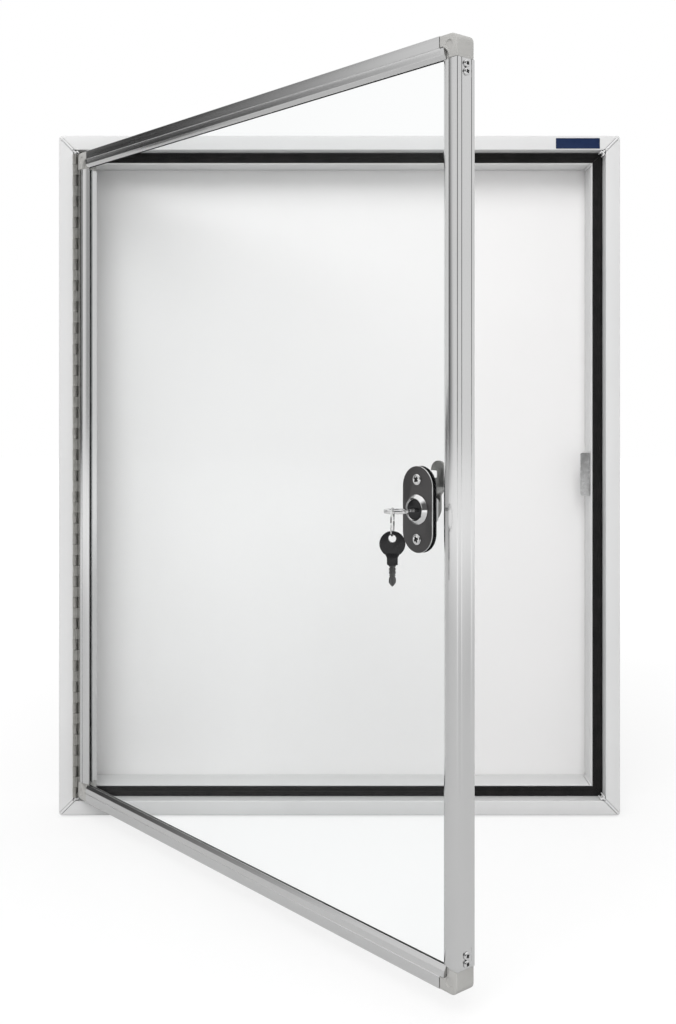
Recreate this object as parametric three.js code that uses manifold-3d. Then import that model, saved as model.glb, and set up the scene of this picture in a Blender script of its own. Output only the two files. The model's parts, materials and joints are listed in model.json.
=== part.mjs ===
// Lockable notice board: a shallow wall cabinet with a glazed door on a continuous hinge.
// Millimetres. +Z is up, +X is to the viewer's right, the front faces -Y, and the wall is the plane y = 0.
// The door stands open, the cam points up, and a key is in the lock with a second key on its ring.

import * as THREE from 'three';
import { mergeVertices } from 'three/addons/utils/BufferGeometryUtils.js';
import Module from 'manifold-3d';

const wasm = await Module();
wasm.setup();

// Overall size of the cabinet
const overall_width = 545;
const overall_height = 660;
const overall_depth = 50;

// Clearances
const fit_gap = 0.3;
const seal_gap = 0.2;
const cut_over = 2;

// Cabinet frame profile, measured inward from the outer edge and back from the front
const frame_wall = 1.6;
const frame_edge_break = 0.5;
const lip_width = 13.8;
const recess_depth = 15.3;
const ledge_width = 11.4;
const ledge_thickness = 1.4;
const bead_width = 1.3;
const bead_height = 1.3;
const rear_rebate_width = 5.7;

// White steel sheet and the board behind it, both in the rear rebate
const sheet_thickness = 0.8;
const board_thickness = 3.5;

// Mitre corner connector: a rib between the mitred ends, legs inside the members, a fork at its inner end
const rib_thickness = 2.4;
const rib_stand = 0.4;
const rib_round = 0.55;
const rib_corner_round = 1.2;
const rib_corner_set = 0.9;
const connector_leg_length = 42;
const fork_tongue = 2.9;
const fork_bar = 1;
const fork_finger = 2;
const fork_finger_width = 1.2;
const fork_half_width = 2.45;
const fork_front = 0.8;
const fork_depth = 8;

// Door gasket, lying on the ledge
const gasket_thickness = 1;
const gasket_edge_chamfer = 0.5;
const gasket_groove_width = 1.4;
const gasket_groove_depth = 0.4;
const gasket_groove_share = 0.55;
const gasket_mitre_gap = 0.15;

// Keyhole slots in the rear flange, for wall screws
const keyhole_spacing_share = 0.7;
const keyhole_head_radius = 4.3;
const keyhole_slot_width = 4.6;
const keyhole_slot_length = 6.5;
const keyhole_edge = 3;

// Continuous hinge
const pin_radius = 0.9;
const knuckle_bore_radius = 1.2;
const knuckle_radius = 1.8;
const knuckle_pitch = 10.2;
const knuckle_end_gap = 0.3;
const pin_overhang = 0.4;
const leaf_thickness = 0.9;
const leaf_slot_gap = 0.5;
const pin_stand = 2;
const strap_taper = 1.3;

// Door
const door_stand = 2.7;
const door_side_gap = 5.2;
const door_end_gap = 4.7;
const door_open_degrees = 49.66;
const degree = Math.PI / 180;

// Door frame profile, measured inward from the door's edge and back from its front
const profile_width = 16.2;
const profile_depth = 16.4;
const profile_wall = 1.7;
const profile_edge_break = 0.6;
const band_width = 8;
const band_step = 0.7;
const lip_slope_width = 4.4;
const lip_slope_drop = 0.8;
const lip_bevel_width = 3;
const lip_bevel_drop = 1.8;
const lip_back = 4.2;
const box_width = 7.9;
const retainer_reach = 5.1;
const retainer_thickness = 1.2;
const groove_depth = 0.6;
const front_groove_start = 2.5;
const front_groove_width = 1.8;
const rear_groove_start = 11.9;
const rear_groove_width = 1.6;

// Glazing
const pane_thickness = 2;
const seal_thickness = 0.5;
const seal_width = 4.2;
const seal_show = 0.5;

// Moulded door corner
const corner_round = 5;
const corner_inset = 0.5;
const corner_edge_round = 0.5;
const corner_leg_length = 22;
const corner_root = 4;
const rail_lip_stop = 13.2;
const pocket_floor = 0.8;
const dimple_from_edges = 7.6;
const dimple_radius = 3.3;
const dimple_depth = 0.4;

// Pan head screws in the lock side of the door
const corner_screw_first = 3.9;
const corner_screw_pitch = 5.3;
const corner_screw_head_radius = 2.6;
const corner_screw_head_height = 1.5;
const corner_screw_shank_radius = 1.2;
const corner_screw_length = 5.5;

// Lock: plates, housing, plug, nut, cam
const lock_from_edge = 40.95;
const lock_plate_length = 58.4;
const lock_plate_width = 28.2;
const lock_plate_thickness = 1;
const back_plate_thickness = 0.8;
const lock_screw_spacing = 40.2;
const lock_screw_head_radius = 3.8;
const lock_screw_head_height = 1;
const lock_screw_shank_radius = 2;
const lock_screw_tail = 2.5;
const collar_radius = 10.2;
const collar_rim = 0.7;
const collar_height = 2.9;
const collar_face_radius = 7.9;
const housing_radius = 9;
const housing_tail = 5.7;
const plug_radius = 6.8;
const plug_recess = 0.4;
const plug_tail = 0.4;
const tang_width = 7.6;
const tang_length = 2.5;
const nut_across_flats = 24;
const nut_thickness = 3.5;
const cam_thickness = 1.6;
const cam_width = 13.4;
const cam_reach = 32.2;
const cam_crank = 4.7;
const cam_bend_start = 9.2;
const cam_bend_run = 4.2;
const cam_notch_low = 20.4;
const cam_notch_height = 5;
const cam_notch_depth = 5.6;
const cam_screw_head_radius = 4.4;
const cam_screw_head_height = 1.8;
const cam_screw_shank_radius = 1.6;
const cam_screw_length = 5.2;

// Keys and ring
const key_plate = 2.4;
const bow_radius = 8.7;
const bow_hole_radius = 4.9;
const bow_front = 15;
const key_shoulder_width = 7.1;
const key_shoulder_stop = 0.4;
const blade_width = 6.2;
const blade_plate = 2;
const blade_length = 14.3;
const keyway_spare = 0.8;
const ring_radius = 9;
const ring_wire_radius = 0.6;
const ring_turn_degrees = 40.8;
const ring_aside = 2.2;
const spare_head_radius = 8.5;
const spare_head_thickness = 3.2;
const spare_hole_radius = 2.6;
const spare_head_above_hole = 2.3;
const spare_shoulder_length = 10.7;
const spare_shoulder_width = 7;
const spare_flare_width = 9.2;
const spare_flare_height = 1.9;
const spare_blade_width = 4.5;
const spare_blade_plate = 1.8;
const spare_neck_width = 2.8;
const spare_tip_width = 4.6;
const spare_tip_flare = 1.6;
const spare_tip_point = 2.6;
const spare_blade_length = 6.9;
const spare_tip_length = 6.8;
const spare_blade_root = 5;
const bitting_depth = 0.9;
const bitting_count = 3;

// Strike plate on the right side wall
const strike_length = 42.4;
const strike_reach = 9.2;
const strike_thickness = 1.2;
const strike_set_back = 2.5;
const strike_ear_length = 11;
const strike_ear_depth = 13;
const strike_corner_round = 2.4;
const strike_screw_head_radius = 2.5;
const strike_screw_head_height = 1.5;
const strike_screw_shank_radius = 1.4;
const strike_screw_length = 5;

// Facets of round shapes
const round_steps = 32;
const small_steps = 16;
const knuckle_steps = 10;
const arc_steps = 6;

// Places worked out from the sizes above
const half_width = overall_width / 2;
const half_height = overall_height / 2;
const web_in = lip_width + ledge_width;
const bead_out = web_in - bead_width;
const ledge_back = recess_depth + ledge_thickness;
const bead_front = recess_depth - bead_height;
const rear_in = web_in - rear_rebate_width;
const rebate_front = overall_depth - board_thickness - sheet_thickness - 2 * fit_gap;
const mitre_offset = rib_thickness / 2 + fit_gap;

const door_front = -door_stand;
const pin_front = door_front - pin_stand;
const pin_in = lip_width + fit_gap + leaf_thickness + (door_side_gap - 2 * fit_gap - 2 * leaf_thickness) / 2;
const frame_leaf_out = lip_width + fit_gap - pin_in;
const door_side = lip_width + door_side_gap - pin_in;
const door_width = overall_width - 2 * lip_width - 2 * door_side_gap;
const door_height = overall_height - 2 * lip_width - 2 * door_end_gap;
const knuckle_count = 2 * Math.floor((door_height / knuckle_pitch - 1) / 2) + 1;
const door_far = door_side + door_width;
const door_back = pin_stand + profile_depth;
const hinge_length = knuckle_count * knuckle_pitch;

const pane_front = lip_back + seal_thickness + 2 * seal_gap;
const pane_back = pane_front + pane_thickness;
const retainer_front = pane_back + seal_gap + seal_gap;
const lip_end = band_width + lip_slope_width + lip_bevel_width;

const lock_axis = door_far - lock_from_edge;
const lock_plate_back = pin_stand + pane_front - fit_gap;
const lock_plate_front = lock_plate_back - lock_plate_thickness;
const collar_back = lock_plate_front - fit_gap;
const collar_front = collar_back - collar_height;
const back_plate_front = pin_stand + pane_back + fit_gap;
const back_plate_back = back_plate_front + back_plate_thickness;
const nut_front = back_plate_back + fit_gap;
const nut_back = nut_front + nut_thickness;
const housing_back = nut_back + housing_tail;
const plug_front = collar_front + plug_recess;
const plug_back = housing_back + plug_tail;
const cam_front = plug_back + 2 * fit_gap;
const cam_back = cam_front + cam_thickness;
const tang_back = plug_back + tang_length;

// A closed geometry as a solid, turned the right way out
function solid(geometry) {
  const bare = geometry.clone();
  bare.deleteAttribute('normal');
  bare.deleteAttribute('uv');
  const merged = mergeVertices(bare, 1e-5);
  const points = new Float32Array(merged.attributes.position.array);
  const faces = new Uint32Array(merged.index.array);
  let volume = 0;
  const corner = [new THREE.Vector3(), new THREE.Vector3(), new THREE.Vector3()];
  for (let f = 0; f < faces.length; f += 3) {
    corner.forEach((c, i) => c.fromArray(points, 3 * faces[f + i]));
    volume += corner[0].dot(corner[1].clone().cross(corner[2]));
  }
  if (volume < 0) {
    for (let f = 0; f < faces.length; f += 3) {
      const kept = faces[f];
      faces[f] = faces[f + 1];
      faces[f + 1] = kept;
    }
  }
  return new wasm.Manifold(new wasm.Mesh({ numProp: 3, vertProperties: points, triVerts: faces }));
}

function join(...geometries) {
  return geometries.map(asSolid).reduce((whole, piece) => whole.add(piece));
}

function cut(body, ...tools) {
  return tools.map(asSolid).reduce((whole, tool) => whole.subtract(tool), asSolid(body));
}

function asSolid(shape) {
  return shape instanceof THREE.BufferGeometry ? solid(shape) : shape;
}

function piece(name, shape, material) {
  const { vertProperties, triVerts } = asSolid(shape).getMesh();
  const geometry = new THREE.BufferGeometry();
  geometry.setAttribute('position', new THREE.BufferAttribute(new Float32Array(vertProperties), 3));
  geometry.setIndex(new THREE.BufferAttribute(new Uint32Array(triVerts), 1));
  geometry.computeVertexNormals();
  const mesh = new THREE.Mesh(geometry, material);
  mesh.name = name;
  return mesh;
}

// Outlines
function outline(points) {
  return new THREE.Shape(points.map(([x, y]) => new THREE.Vector2(x, y)));
}

function circle(radius, x = 0, y = 0) {
  const path = new THREE.Shape();
  path.absarc(x, y, radius, 0, 2 * Math.PI, false);
  return path;
}

// An oblong with round ends, upright, centred on the origin
function oblong(length, width) {
  const radius = width / 2;
  const straight = length / 2 - radius;
  const shape = new THREE.Shape();
  shape.absarc(0, straight, radius, 0, Math.PI, false);
  shape.absarc(0, -straight, radius, Math.PI, 2 * Math.PI, false);
  return shape;
}

// An outline drawn from the front, x across and y up, made thick from one depth to a deeper one
function plate(shape, front, back, steps = arc_steps) {
  return extruded(shape, back - front, steps).rotateX(Math.PI / 2).translate(0, back, 0);
}

// The same for an outline whose y runs down, as the corner pieces are drawn
function cornerPlate(shape, front, back, round = 0, steps = arc_steps) {
  return extruded(shape, back - front, steps, round).rotateX(-Math.PI / 2).translate(0, front, 0);
}

function extruded(shape, depth, steps, round = 0) {
  const geometry = new THREE.ExtrudeGeometry(shape, {
    depth: depth - 2 * round,
    curveSegments: steps,
    bevelEnabled: round > 0,
    bevelThickness: round,
    bevelSize: round,
    bevelOffset: -round,
    bevelSegments: 2,
  });
  return geometry.translate(0, 0, round);
}

function box(low, high) {
  const size = high.map((value, i) => value - low[i]);
  const middle = high.map((value, i) => (value + low[i]) / 2);
  return new THREE.BoxGeometry(...size).translate(...middle);
}

// A cylinder along the depth axis
function rod(radius, front, back, steps = small_steps) {
  return new THREE.CylinderGeometry(radius, radius, back - front, steps).translate(0, (front + back) / 2, 0);
}

function turned(points, steps = small_steps) {
  return new THREE.LatheGeometry(points.map(([r, y]) => new THREE.Vector2(r, y)), steps);
}

// A pan head screw with its head towards +Y and its seat at the origin
const head_edge_share = 0.4;
const head_shoulder_share = 0.72;
const head_shoulder_height_share = 0.88;

function panScrew(head_radius, head_height, shank_radius, shank_length) {
  return turned([
    [0, -shank_length],
    [shank_radius, -shank_length],
    [shank_radius, 0],
    [head_radius, 0],
    [head_radius, head_height * head_edge_share],
    [head_radius * head_shoulder_share, head_height * head_shoulder_height_share],
    [0, head_height],
  ]);
}

// Materials
function finish(color, roughness, metalness) {
  return new THREE.MeshStandardMaterial({ color, roughness, metalness });
}

const frame_metal = finish(0xd9d9d8, 0.45, 0.6);
const door_metal = finish(0xb9b9ba, 0.35, 0.9);
const corner_plastic = finish(0xb1afa9, 0.55, 0);
const rubber = finish(0x26262a, 0.7, 0);
const white_enamel = finish(0xf2f2f3, 0.3, 0.1);
const board_material = finish(0x9b9a96, 0.8, 0);
const zinc = finish(0xa9a9a6, 0.4, 0.9);
const hinge_metal = finish(0x9a9a92, 0.4, 0.9);
const chrome = finish(0xdcdcde, 0.12, 1);
const black_lacquer = finish(0x3a3839, 0.35, 0.2);
const acrylic = finish(0xf4f8f8, 0.05, 0);
acrylic.transparent = true;
acrylic.opacity = 0.15;
const cam_steel = finish(0x8e8f90, 0.35, 0.95);
const key_metal = finish(0xd4d4d6, 0.2, 1);
const black_plastic = finish(0x1c1c1e, 0.4, 0);

// Cabinet frame members: one hollow profile, mitred at both ends
const frame_section = [
  [0, frame_edge_break],
  [frame_edge_break, 0],
  [lip_width - frame_edge_break, 0],
  [lip_width, frame_edge_break],
  [lip_width, recess_depth],
  [bead_out, recess_depth],
  [bead_out, bead_front],
  [web_in, bead_front],
  [web_in, rebate_front],
  [rear_in, rebate_front],
  [rear_in, overall_depth],
  [0, overall_depth],
];
const frame_chamber = [
  [frame_wall, frame_wall],
  [lip_width - frame_wall, frame_wall],
  [lip_width - frame_wall, ledge_back],
  [web_in - frame_wall, ledge_back],
  [web_in - frame_wall, rebate_front - frame_wall],
  [rear_in - frame_wall, rebate_front - frame_wall],
  [rear_in - frame_wall, overall_depth - frame_wall],
  [frame_wall, overall_depth - frame_wall],
];

function mitredBar(section, chamber, outer_length, plane_offset) {
  const shape = outline(section);
  if (chamber) shape.holes.push(outline(chamber));
  const geometry = new THREE.ExtrudeGeometry(shape, { depth: 1, bevelEnabled: false });
  const position = geometry.attributes.position;
  for (let i = 0; i < position.count; i += 1) {
    const half = outer_length / 2 - position.getX(i) - plane_offset * Math.SQRT2;
    position.setZ(i, position.getZ(i) > 0.5 ? half : -half);
  }
  return geometry;
}

// A keyhole through the rear flange: a round hole for the head and a slot towards direction
function keyhole(along, head_in, direction) {
  const front = overall_depth - frame_wall - cut_over;
  const back = overall_depth + cut_over;
  const slot_in = head_in + direction * keyhole_slot_length;
  const slot_low = Math.min(head_in, slot_in);
  const slot_high = Math.max(head_in, slot_in);
  const half_slot = keyhole_slot_width / 2;
  return join(
    rod(keyhole_head_radius, front, back).translate(head_in, 0, along),
    rod(half_slot, front, back).translate(slot_in, 0, along),
    box([slot_low, front, along - half_slot], [slot_high, back, along + half_slot]),
  );
}

function frameMembers() {
  const rail = mitredBar(frame_section, frame_chamber, overall_width, mitre_offset);
  const stile = mitredBar(frame_section, frame_chamber, overall_height, mitre_offset);
  const keyhole_along = overall_width * keyhole_spacing_share / 2;
  const low = keyhole_edge + keyhole_slot_width / 2;
  const high = low + keyhole_slot_length;
  const top = cut(rail, keyhole(-keyhole_along, high, -1), keyhole(keyhole_along, high, -1));
  const bottom = cut(rail, keyhole(-keyhole_along, low, 1), keyhole(keyhole_along, low, 1));
  const right = cut(stile, ...strikeHoles());
  const members = [
    ['frame_rail_top', top, [0, half_height], Math.PI / 2],
    ['frame_rail_bottom', bottom, [0, -half_height], -Math.PI / 2],
    ['frame_stile_left', stile, [-half_width, 0], 0],
    ['frame_stile_right', right, [half_width, 0], Math.PI],
  ];
  return members.map(([name, shape, place, turn]) => onCabinet(piece(name, shape, frame_metal), place, turn));
}

// Puts a piece drawn from the outer edge inward at its side or corner of the cabinet
function onCabinet(mesh, [x, z], turn) {
  mesh.position.set(x, -overall_depth, z);
  mesh.rotation.y = turn;
  return mesh;
}

// Mitre corner connectors
function frameConnector() {
  const inner = lip_width * Math.SQRT2;
  const web = web_in * Math.SQRT2 + rib_round;
  const bead = bead_out * Math.SQRT2 + rib_thickness / 2 - rib_round / 2;
  const rear = rear_in * Math.SQRT2;
  const shape = new THREE.Shape();
  shape.moveTo(rib_corner_set, overall_depth);
  shape.lineTo(rib_corner_set, rib_corner_round - rib_stand);
  shape.quadraticCurveTo(rib_corner_set, -rib_stand, rib_corner_set + rib_corner_round, -rib_stand);
  [
    [inner, -rib_stand],
    [inner, recess_depth],
    [bead, recess_depth],
    [bead, bead_front],
    [web, bead_front],
    [web, rebate_front],
    [rear, rebate_front],
    [rear, overall_depth],
  ].forEach(([x, y]) => shape.lineTo(x, y));
  const rib = extruded(shape, rib_thickness, arc_steps, rib_round)
    .translate(0, 0, -rib_thickness / 2)
    .rotateY(Math.PI / 4);
  const near = frame_wall + fit_gap;
  const far = lip_width - frame_wall - fit_gap;
  const legs = cornerPlate(outline([
    [near, near],
    [connector_leg_length, near],
    [connector_leg_length, far],
    [far, far],
    [far, connector_leg_length],
    [near, connector_leg_length],
  ]), near, rebate_front - frame_wall - fit_gap);
  const bar_start = inner + fork_tongue;
  const finger_start = bar_start + fork_bar;
  const finger_end = finger_start + fork_finger;
  const fork_back = fork_front + fork_depth;
  const half_rib = rib_thickness / 2;
  const finger_in = fork_half_width - fork_finger_width;
  const fork = join(
    box([inner - cut_over, fork_front, -half_rib], [bar_start, fork_back, half_rib]),
    box([bar_start, fork_front, -fork_half_width], [finger_start, fork_back, fork_half_width]),
    box([finger_start, fork_front, finger_in], [finger_end, fork_back, fork_half_width]),
    box([finger_start, fork_front, -fork_half_width], [finger_end, fork_back, -finger_in]),
  ).rotate([0, 45, 0]);
  return join(rib, legs, fork);
}

function frameConnectors() {
  const shape = frameConnector();
  const corners = [
    ['frame_corner_top_left', [-half_width, half_height], 0],
    ['frame_corner_top_right', [half_width, half_height], Math.PI / 2],
    ['frame_corner_bottom_right', [half_width, -half_height], Math.PI],
    ['frame_corner_bottom_left', [-half_width, -half_height], -Math.PI / 2],
  ];
  return corners.map(([name, place, turn]) => onCabinet(piece(name, shape, frame_metal), place, turn));
}

// Gasket strips on the ledge
function gaskets() {
  const outer = lip_width + fit_gap;
  const inner = bead_out - fit_gap;
  const back = recess_depth - fit_gap;
  const front = back - gasket_thickness;
  const shoulder = front + gasket_edge_chamfer;
  const groove = outer + (inner - outer) * gasket_groove_share;
  const groove_half = gasket_groove_width / 2;
  const floor = front + gasket_groove_depth;
  const section = [
    [outer, back],
    [outer, shoulder],
    [outer + gasket_edge_chamfer, front],
    [groove - groove_half - gasket_groove_depth, front],
    [groove - groove_half, floor],
    [groove + groove_half, floor],
    [groove + groove_half + gasket_groove_depth, front],
    [inner - gasket_edge_chamfer, front],
    [inner, shoulder],
    [inner, back],
  ];
  const across = mitredBar(section, null, overall_width, gasket_mitre_gap);
  const upright = mitredBar(section, null, overall_height, gasket_mitre_gap);
  const strips = [
    ['gasket_top', across, [0, half_height], Math.PI / 2],
    ['gasket_bottom', across, [0, -half_height], -Math.PI / 2],
    ['gasket_left', upright, [-half_width, 0], 0],
    ['gasket_right', upright, [half_width, 0], Math.PI],
  ];
  return strips.map(([name, shape, place, turn]) => onCabinet(piece(name, shape, rubber), place, turn));
}

// Steel sheet and backing board
function backPanels() {
  const x = half_width - rear_in - fit_gap;
  const z = half_height - rear_in - fit_gap;
  const sheet_front = rebate_front + fit_gap - overall_depth;
  const sheet = box([-x, sheet_front, -z], [x, sheet_front + sheet_thickness, z]);
  const board = box([-x, -board_thickness, -z], [x, 0, z]);
  return [
    piece('magnetic_sheet', sheet, white_enamel),
    piece('backing_board', board, board_material),
  ];
}

// Strike plate: a flange behind the ledge and two ears screwed to the side wall.
// Drawn like the frame members, inward from the outer edge, back from the front and along the stile.
const strike_front = ledge_back + strike_set_back;
const strike_foot = web_in + fit_gap;
const strike_screw_in = strike_foot + strike_thickness + fit_gap;
const strike_screw_back = strike_front + (strike_thickness + strike_ear_depth) / 2;
const strike_screw_along = strike_length / 2 - strike_ear_length / 2;

function strikeHoles() {
  const radius = strike_screw_shank_radius + fit_gap;
  return [-1, 1].map((side) => new THREE.CylinderGeometry(radius, radius, strike_screw_length * 2, small_steps)
    .rotateZ(Math.PI / 2)
    .translate(web_in, strike_screw_back, side * strike_screw_along));
}

function strike() {
  const half = strike_length / 2;
  const reach = strike_foot + strike_reach;
  const round = strike_corner_round;
  const shape = new THREE.Shape();
  shape.moveTo(strike_foot, -half);
  shape.lineTo(reach - round, -half);
  shape.absarc(reach - round, round - half, round, -Math.PI / 2, 0, false);
  shape.absarc(reach - round, half - round, round, 0, Math.PI / 2, false);
  shape.lineTo(strike_foot, half);
  const flange = plate(shape, strike_front, strike_front + strike_thickness);
  const ear_back = strike_front + strike_ear_depth;
  const ears = [-1, 1].map((side) => box(
    [strike_foot, strike_front, Math.min(side * half, side * (half - strike_ear_length))],
    [strike_foot + strike_thickness, ear_back, Math.max(side * half, side * (half - strike_ear_length))],
  ));
  const plate_piece = onCabinet(
    piece('strike_plate', cut(join(flange, ...ears), ...strikeHoles()), zinc),
    [half_width, 0],
    Math.PI,
  );
  const screw = panScrew(
    strike_screw_head_radius,
    strike_screw_head_height,
    strike_screw_shank_radius,
    strike_screw_length,
  ).rotateZ(-Math.PI / 2);
  const screws = [['strike_screw_upper', -1], ['strike_screw_lower', 1]].map(([name, side]) => {
    const seated = screw.clone().translate(strike_screw_in, strike_screw_back, side * strike_screw_along);
    return onCabinet(piece(name, seated, zinc), [half_width, 0], Math.PI);
  });
  return [plate_piece, ...screws];
}

// Continuous hinge, drawn with the pin axis on the origin: x towards the door, y back, z up
function knuckleAt(index, leaf_low, leaf_high) {
  const side = Math.sign(leaf_low + leaf_high);
  const [inner, outer] = side > 0 ? [leaf_low, leaf_high] : [leaf_high, leaf_low];
  const shape = circle(knuckle_radius);
  shape.holes.push(circle(knuckle_bore_radius));
  const height = knuckle_pitch - knuckle_end_gap;
  const base = index * knuckle_pitch - hinge_length / 2 + knuckle_end_gap / 2;
  const strap_back = knuckle_radius + leaf_slot_gap + leaf_thickness;
  const barrel = extruded(shape, height, knuckle_steps / 2).translate(0, 0, base);
  const strap_outline = outline([
    [inner, 0],
    [side * knuckle_radius, 0],
    [outer, strap_taper],
    [outer, strap_back],
    [inner, strap_back],
  ]);
  const strap = cut(
    extruded(strap_outline, height, arc_steps).translate(0, 0, base),
    rodAlongZ(knuckle_bore_radius, base - cut_over, base + height + cut_over),
  );
  return join(barrel, strap);
}

function rodAlongZ(radius, low, high) {
  return new THREE.CylinderGeometry(radius, radius, high - low, knuckle_steps)
    .rotateX(Math.PI / 2)
    .translate(0, 0, (low + high) / 2);
}

function hingeLeaf(leaf_low, leaf_high, leaf_back, first) {
  const half = hinge_length / 2 - knuckle_end_gap / 2;
  const slot = knuckle_radius + leaf_slot_gap;
  let leaf = solid(box([leaf_low, slot, -half], [leaf_high, leaf_back, half]));
  for (let index = first; index < knuckle_count; index += 2) {
    leaf = leaf.add(knuckleAt(index, leaf_low, leaf_high));
  }
  return leaf;
}

function hingeOnCabinet() {
  const gasket_front = recess_depth - fit_gap - gasket_thickness;
  const leaf_back = gasket_front - fit_gap - pin_front;
  const leaf = hingeLeaf(frame_leaf_out, frame_leaf_out + leaf_thickness, leaf_back, 0);
  const pin_half = hinge_length / 2 + pin_overhang;
  const pin = rodAlongZ(pin_radius, -pin_half, pin_half);
  const group = new THREE.Group();
  group.position.set(pin_in - half_width, pin_front - overall_depth, 0);
  group.add(piece('hinge_leaf_frame', leaf, hinge_metal));
  group.add(piece('hinge_pin', pin, hinge_metal));
  return group;
}

function hingeLeafOnDoor() {
  const leaf_high = door_side - fit_gap;
  const leaf_back = door_back - fit_gap - profile_wall;
  return piece('hinge_leaf_door', hingeLeaf(leaf_high - leaf_thickness, leaf_high, leaf_back, 1), hinge_metal);
}

// Door frame members: one hollow profile, cut square against the moulded corners
const door_section = [
  [profile_edge_break, 0],
  [band_width, 0],
  [band_width, band_step],
  [band_width + lip_slope_width, band_step + lip_slope_drop],
  [lip_end, band_step + lip_slope_drop + lip_bevel_drop],
  [lip_end, lip_back],
  [box_width, lip_back],
  [box_width, retainer_front],
  [box_width + retainer_reach, retainer_front],
  [box_width + retainer_reach, retainer_front + retainer_thickness],
  [box_width, retainer_front + retainer_thickness],
  [box_width, profile_depth],
  [0, profile_depth],
  [0, rear_groove_start + rear_groove_width],
  [groove_depth, rear_groove_start + rear_groove_width],
  [groove_depth, rear_groove_start],
  [0, rear_groove_start],
  [0, front_groove_start + front_groove_width],
  [groove_depth, front_groove_start + front_groove_width],
  [groove_depth, front_groove_start],
  [0, front_groove_start],
  [0, profile_edge_break],
];
const chamber_low = profile_wall;
const chamber_high = box_width - profile_wall + seal_gap;
const door_chamber = [
  [chamber_low, profile_wall],
  [chamber_high, profile_wall],
  [chamber_high, profile_depth - profile_wall],
  [chamber_low, profile_depth - profile_wall],
];

function doorBar(length) {
  const shape = outline(door_section);
  shape.holes.push(outline(door_chamber));
  return new THREE.ExtrudeGeometry(shape, { depth: length, bevelEnabled: false }).translate(0, 0, -length / 2);
}

// Puts a piece drawn from the door's outer edge inward at its side or corner of the door
function onDoor(mesh, [x, z], turn) {
  mesh.position.set(x, pin_stand, z);
  mesh.rotation.y = turn;
  return mesh;
}

const door_middle = door_side + door_width / 2;
const corner_screw_deep = (front_groove_start + front_groove_width + rear_groove_start) / 2;

function cornerScrewPlaces() {
  const first = door_height / 2 - profile_width - corner_screw_first;
  const second = first - corner_screw_pitch;
  return [first, second, -first, -second];
}

// Holes for the side screws, drawn in the frame of the lock side member
function cornerScrewHoles() {
  const radius = corner_screw_shank_radius + fit_gap;
  return cornerScrewPlaces().map((along) => new THREE.CylinderGeometry(
    radius,
    radius,
    2 * corner_screw_length + 2 * cut_over,
    small_steps,
  ).rotateZ(Math.PI / 2).translate(0, corner_screw_deep, along));
}

// The rails' lips run on past the box of the profile, into pockets in the corners
const rail_lip_out = band_width + seal_gap;

function railBar(length, lip_length) {
  const lip_zone = box(
    [rail_lip_out, -cut_over, -lip_length / 2],
    [profile_width, lip_back, lip_length / 2],
  );
  return solid(doorBar(length)).add(solid(doorBar(lip_length)).intersect(solid(lip_zone)));
}

function doorMembers() {
  const corner = profile_width + fit_gap;
  const rail = railBar(door_width - 2 * corner, door_width - 2 * rail_lip_stop);
  const stile = doorBar(door_height - 2 * corner);
  const lock_stile = cut(stile, ...cornerScrewHoles());
  const members = [
    ['door_rail_top', rail, [door_middle, door_height / 2], Math.PI / 2],
    ['door_rail_bottom', rail, [door_middle, -door_height / 2], -Math.PI / 2],
    ['door_stile_hinge', stile, [door_side, 0], 0],
    ['door_stile_lock', lock_stile, [door_far, 0], Math.PI],
  ];
  return members.map(([name, shape, place, turn]) => onDoor(piece(name, shape, door_metal), place, turn));
}

// Moulded door corners, drawn from the corner inward: x along one edge, y along the other
function cornerOutline(size, inner) {
  const shape = new THREE.Shape();
  shape.moveTo(corner_inset, size);
  shape.lineTo(corner_inset, corner_inset + corner_round);
  shape.absarc(
    corner_inset + corner_round,
    corner_inset + corner_round,
    corner_round,
    Math.PI,
    1.5 * Math.PI,
    false,
  );
  shape.lineTo(size, corner_inset);
  inner(shape);
  return shape;
}

// rail_along_x tells which of the two edges is the rail's
function doorCorner(rail_along_x) {
  const size = profile_width;
  const band = band_width - seal_gap;
  const box_in = box_width - seal_gap;
  const front_plate = cornerPlate(cornerOutline(size, (shape) => {
    shape.lineTo(size, band);
    shape.absarc(size, size, size - band, 1.5 * Math.PI, Math.PI, true);
  }), 0, lip_back, corner_edge_round);
  const body = cornerPlate(cornerOutline(size, (shape) => {
    shape.lineTo(size, box_in);
    shape.lineTo(box_in, box_in);
    shape.lineTo(box_in, size);
  }), corner_edge_round, profile_depth - corner_inset, corner_edge_round);
  const leg_low = chamber_low + fit_gap;
  const leg_high = chamber_high - fit_gap;
  const leg_end = size + corner_leg_length;
  const legs = cornerPlate(outline([
    [corner_root, leg_low],
    [leg_end, leg_low],
    [leg_end, leg_high],
    [leg_high, leg_high],
    [leg_high, leg_end],
    [leg_low, leg_end],
    [leg_low, corner_root],
  ]), profile_wall + fit_gap, profile_depth - profile_wall - fit_gap);
  const lip_stop = rail_lip_stop - fit_gap;
  const lip_side = lip_end + seal_gap;
  const floor_front = lip_back - pocket_floor;
  const block = (low, high, front, back) => cornerBlock(rail_along_x, low, high, front, back);
  const floor = block([corner_root, corner_root], [lip_stop, size], floor_front, lip_back);
  const sill = block([corner_root, lip_side], [lip_end, size], floor_front, lip_back);
  const lip_room = block([lip_stop, band], [size + cut_over, lip_side], -cut_over, lip_back + fit_gap);
  const dimple = rod(dimple_radius, -cut_over, dimple_depth, round_steps / 2)
    .translate(dimple_from_edges, 0, -dimple_from_edges);
  return cut(join(front_plate, body, legs, floor, sill), lip_room, dimple);
}

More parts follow.
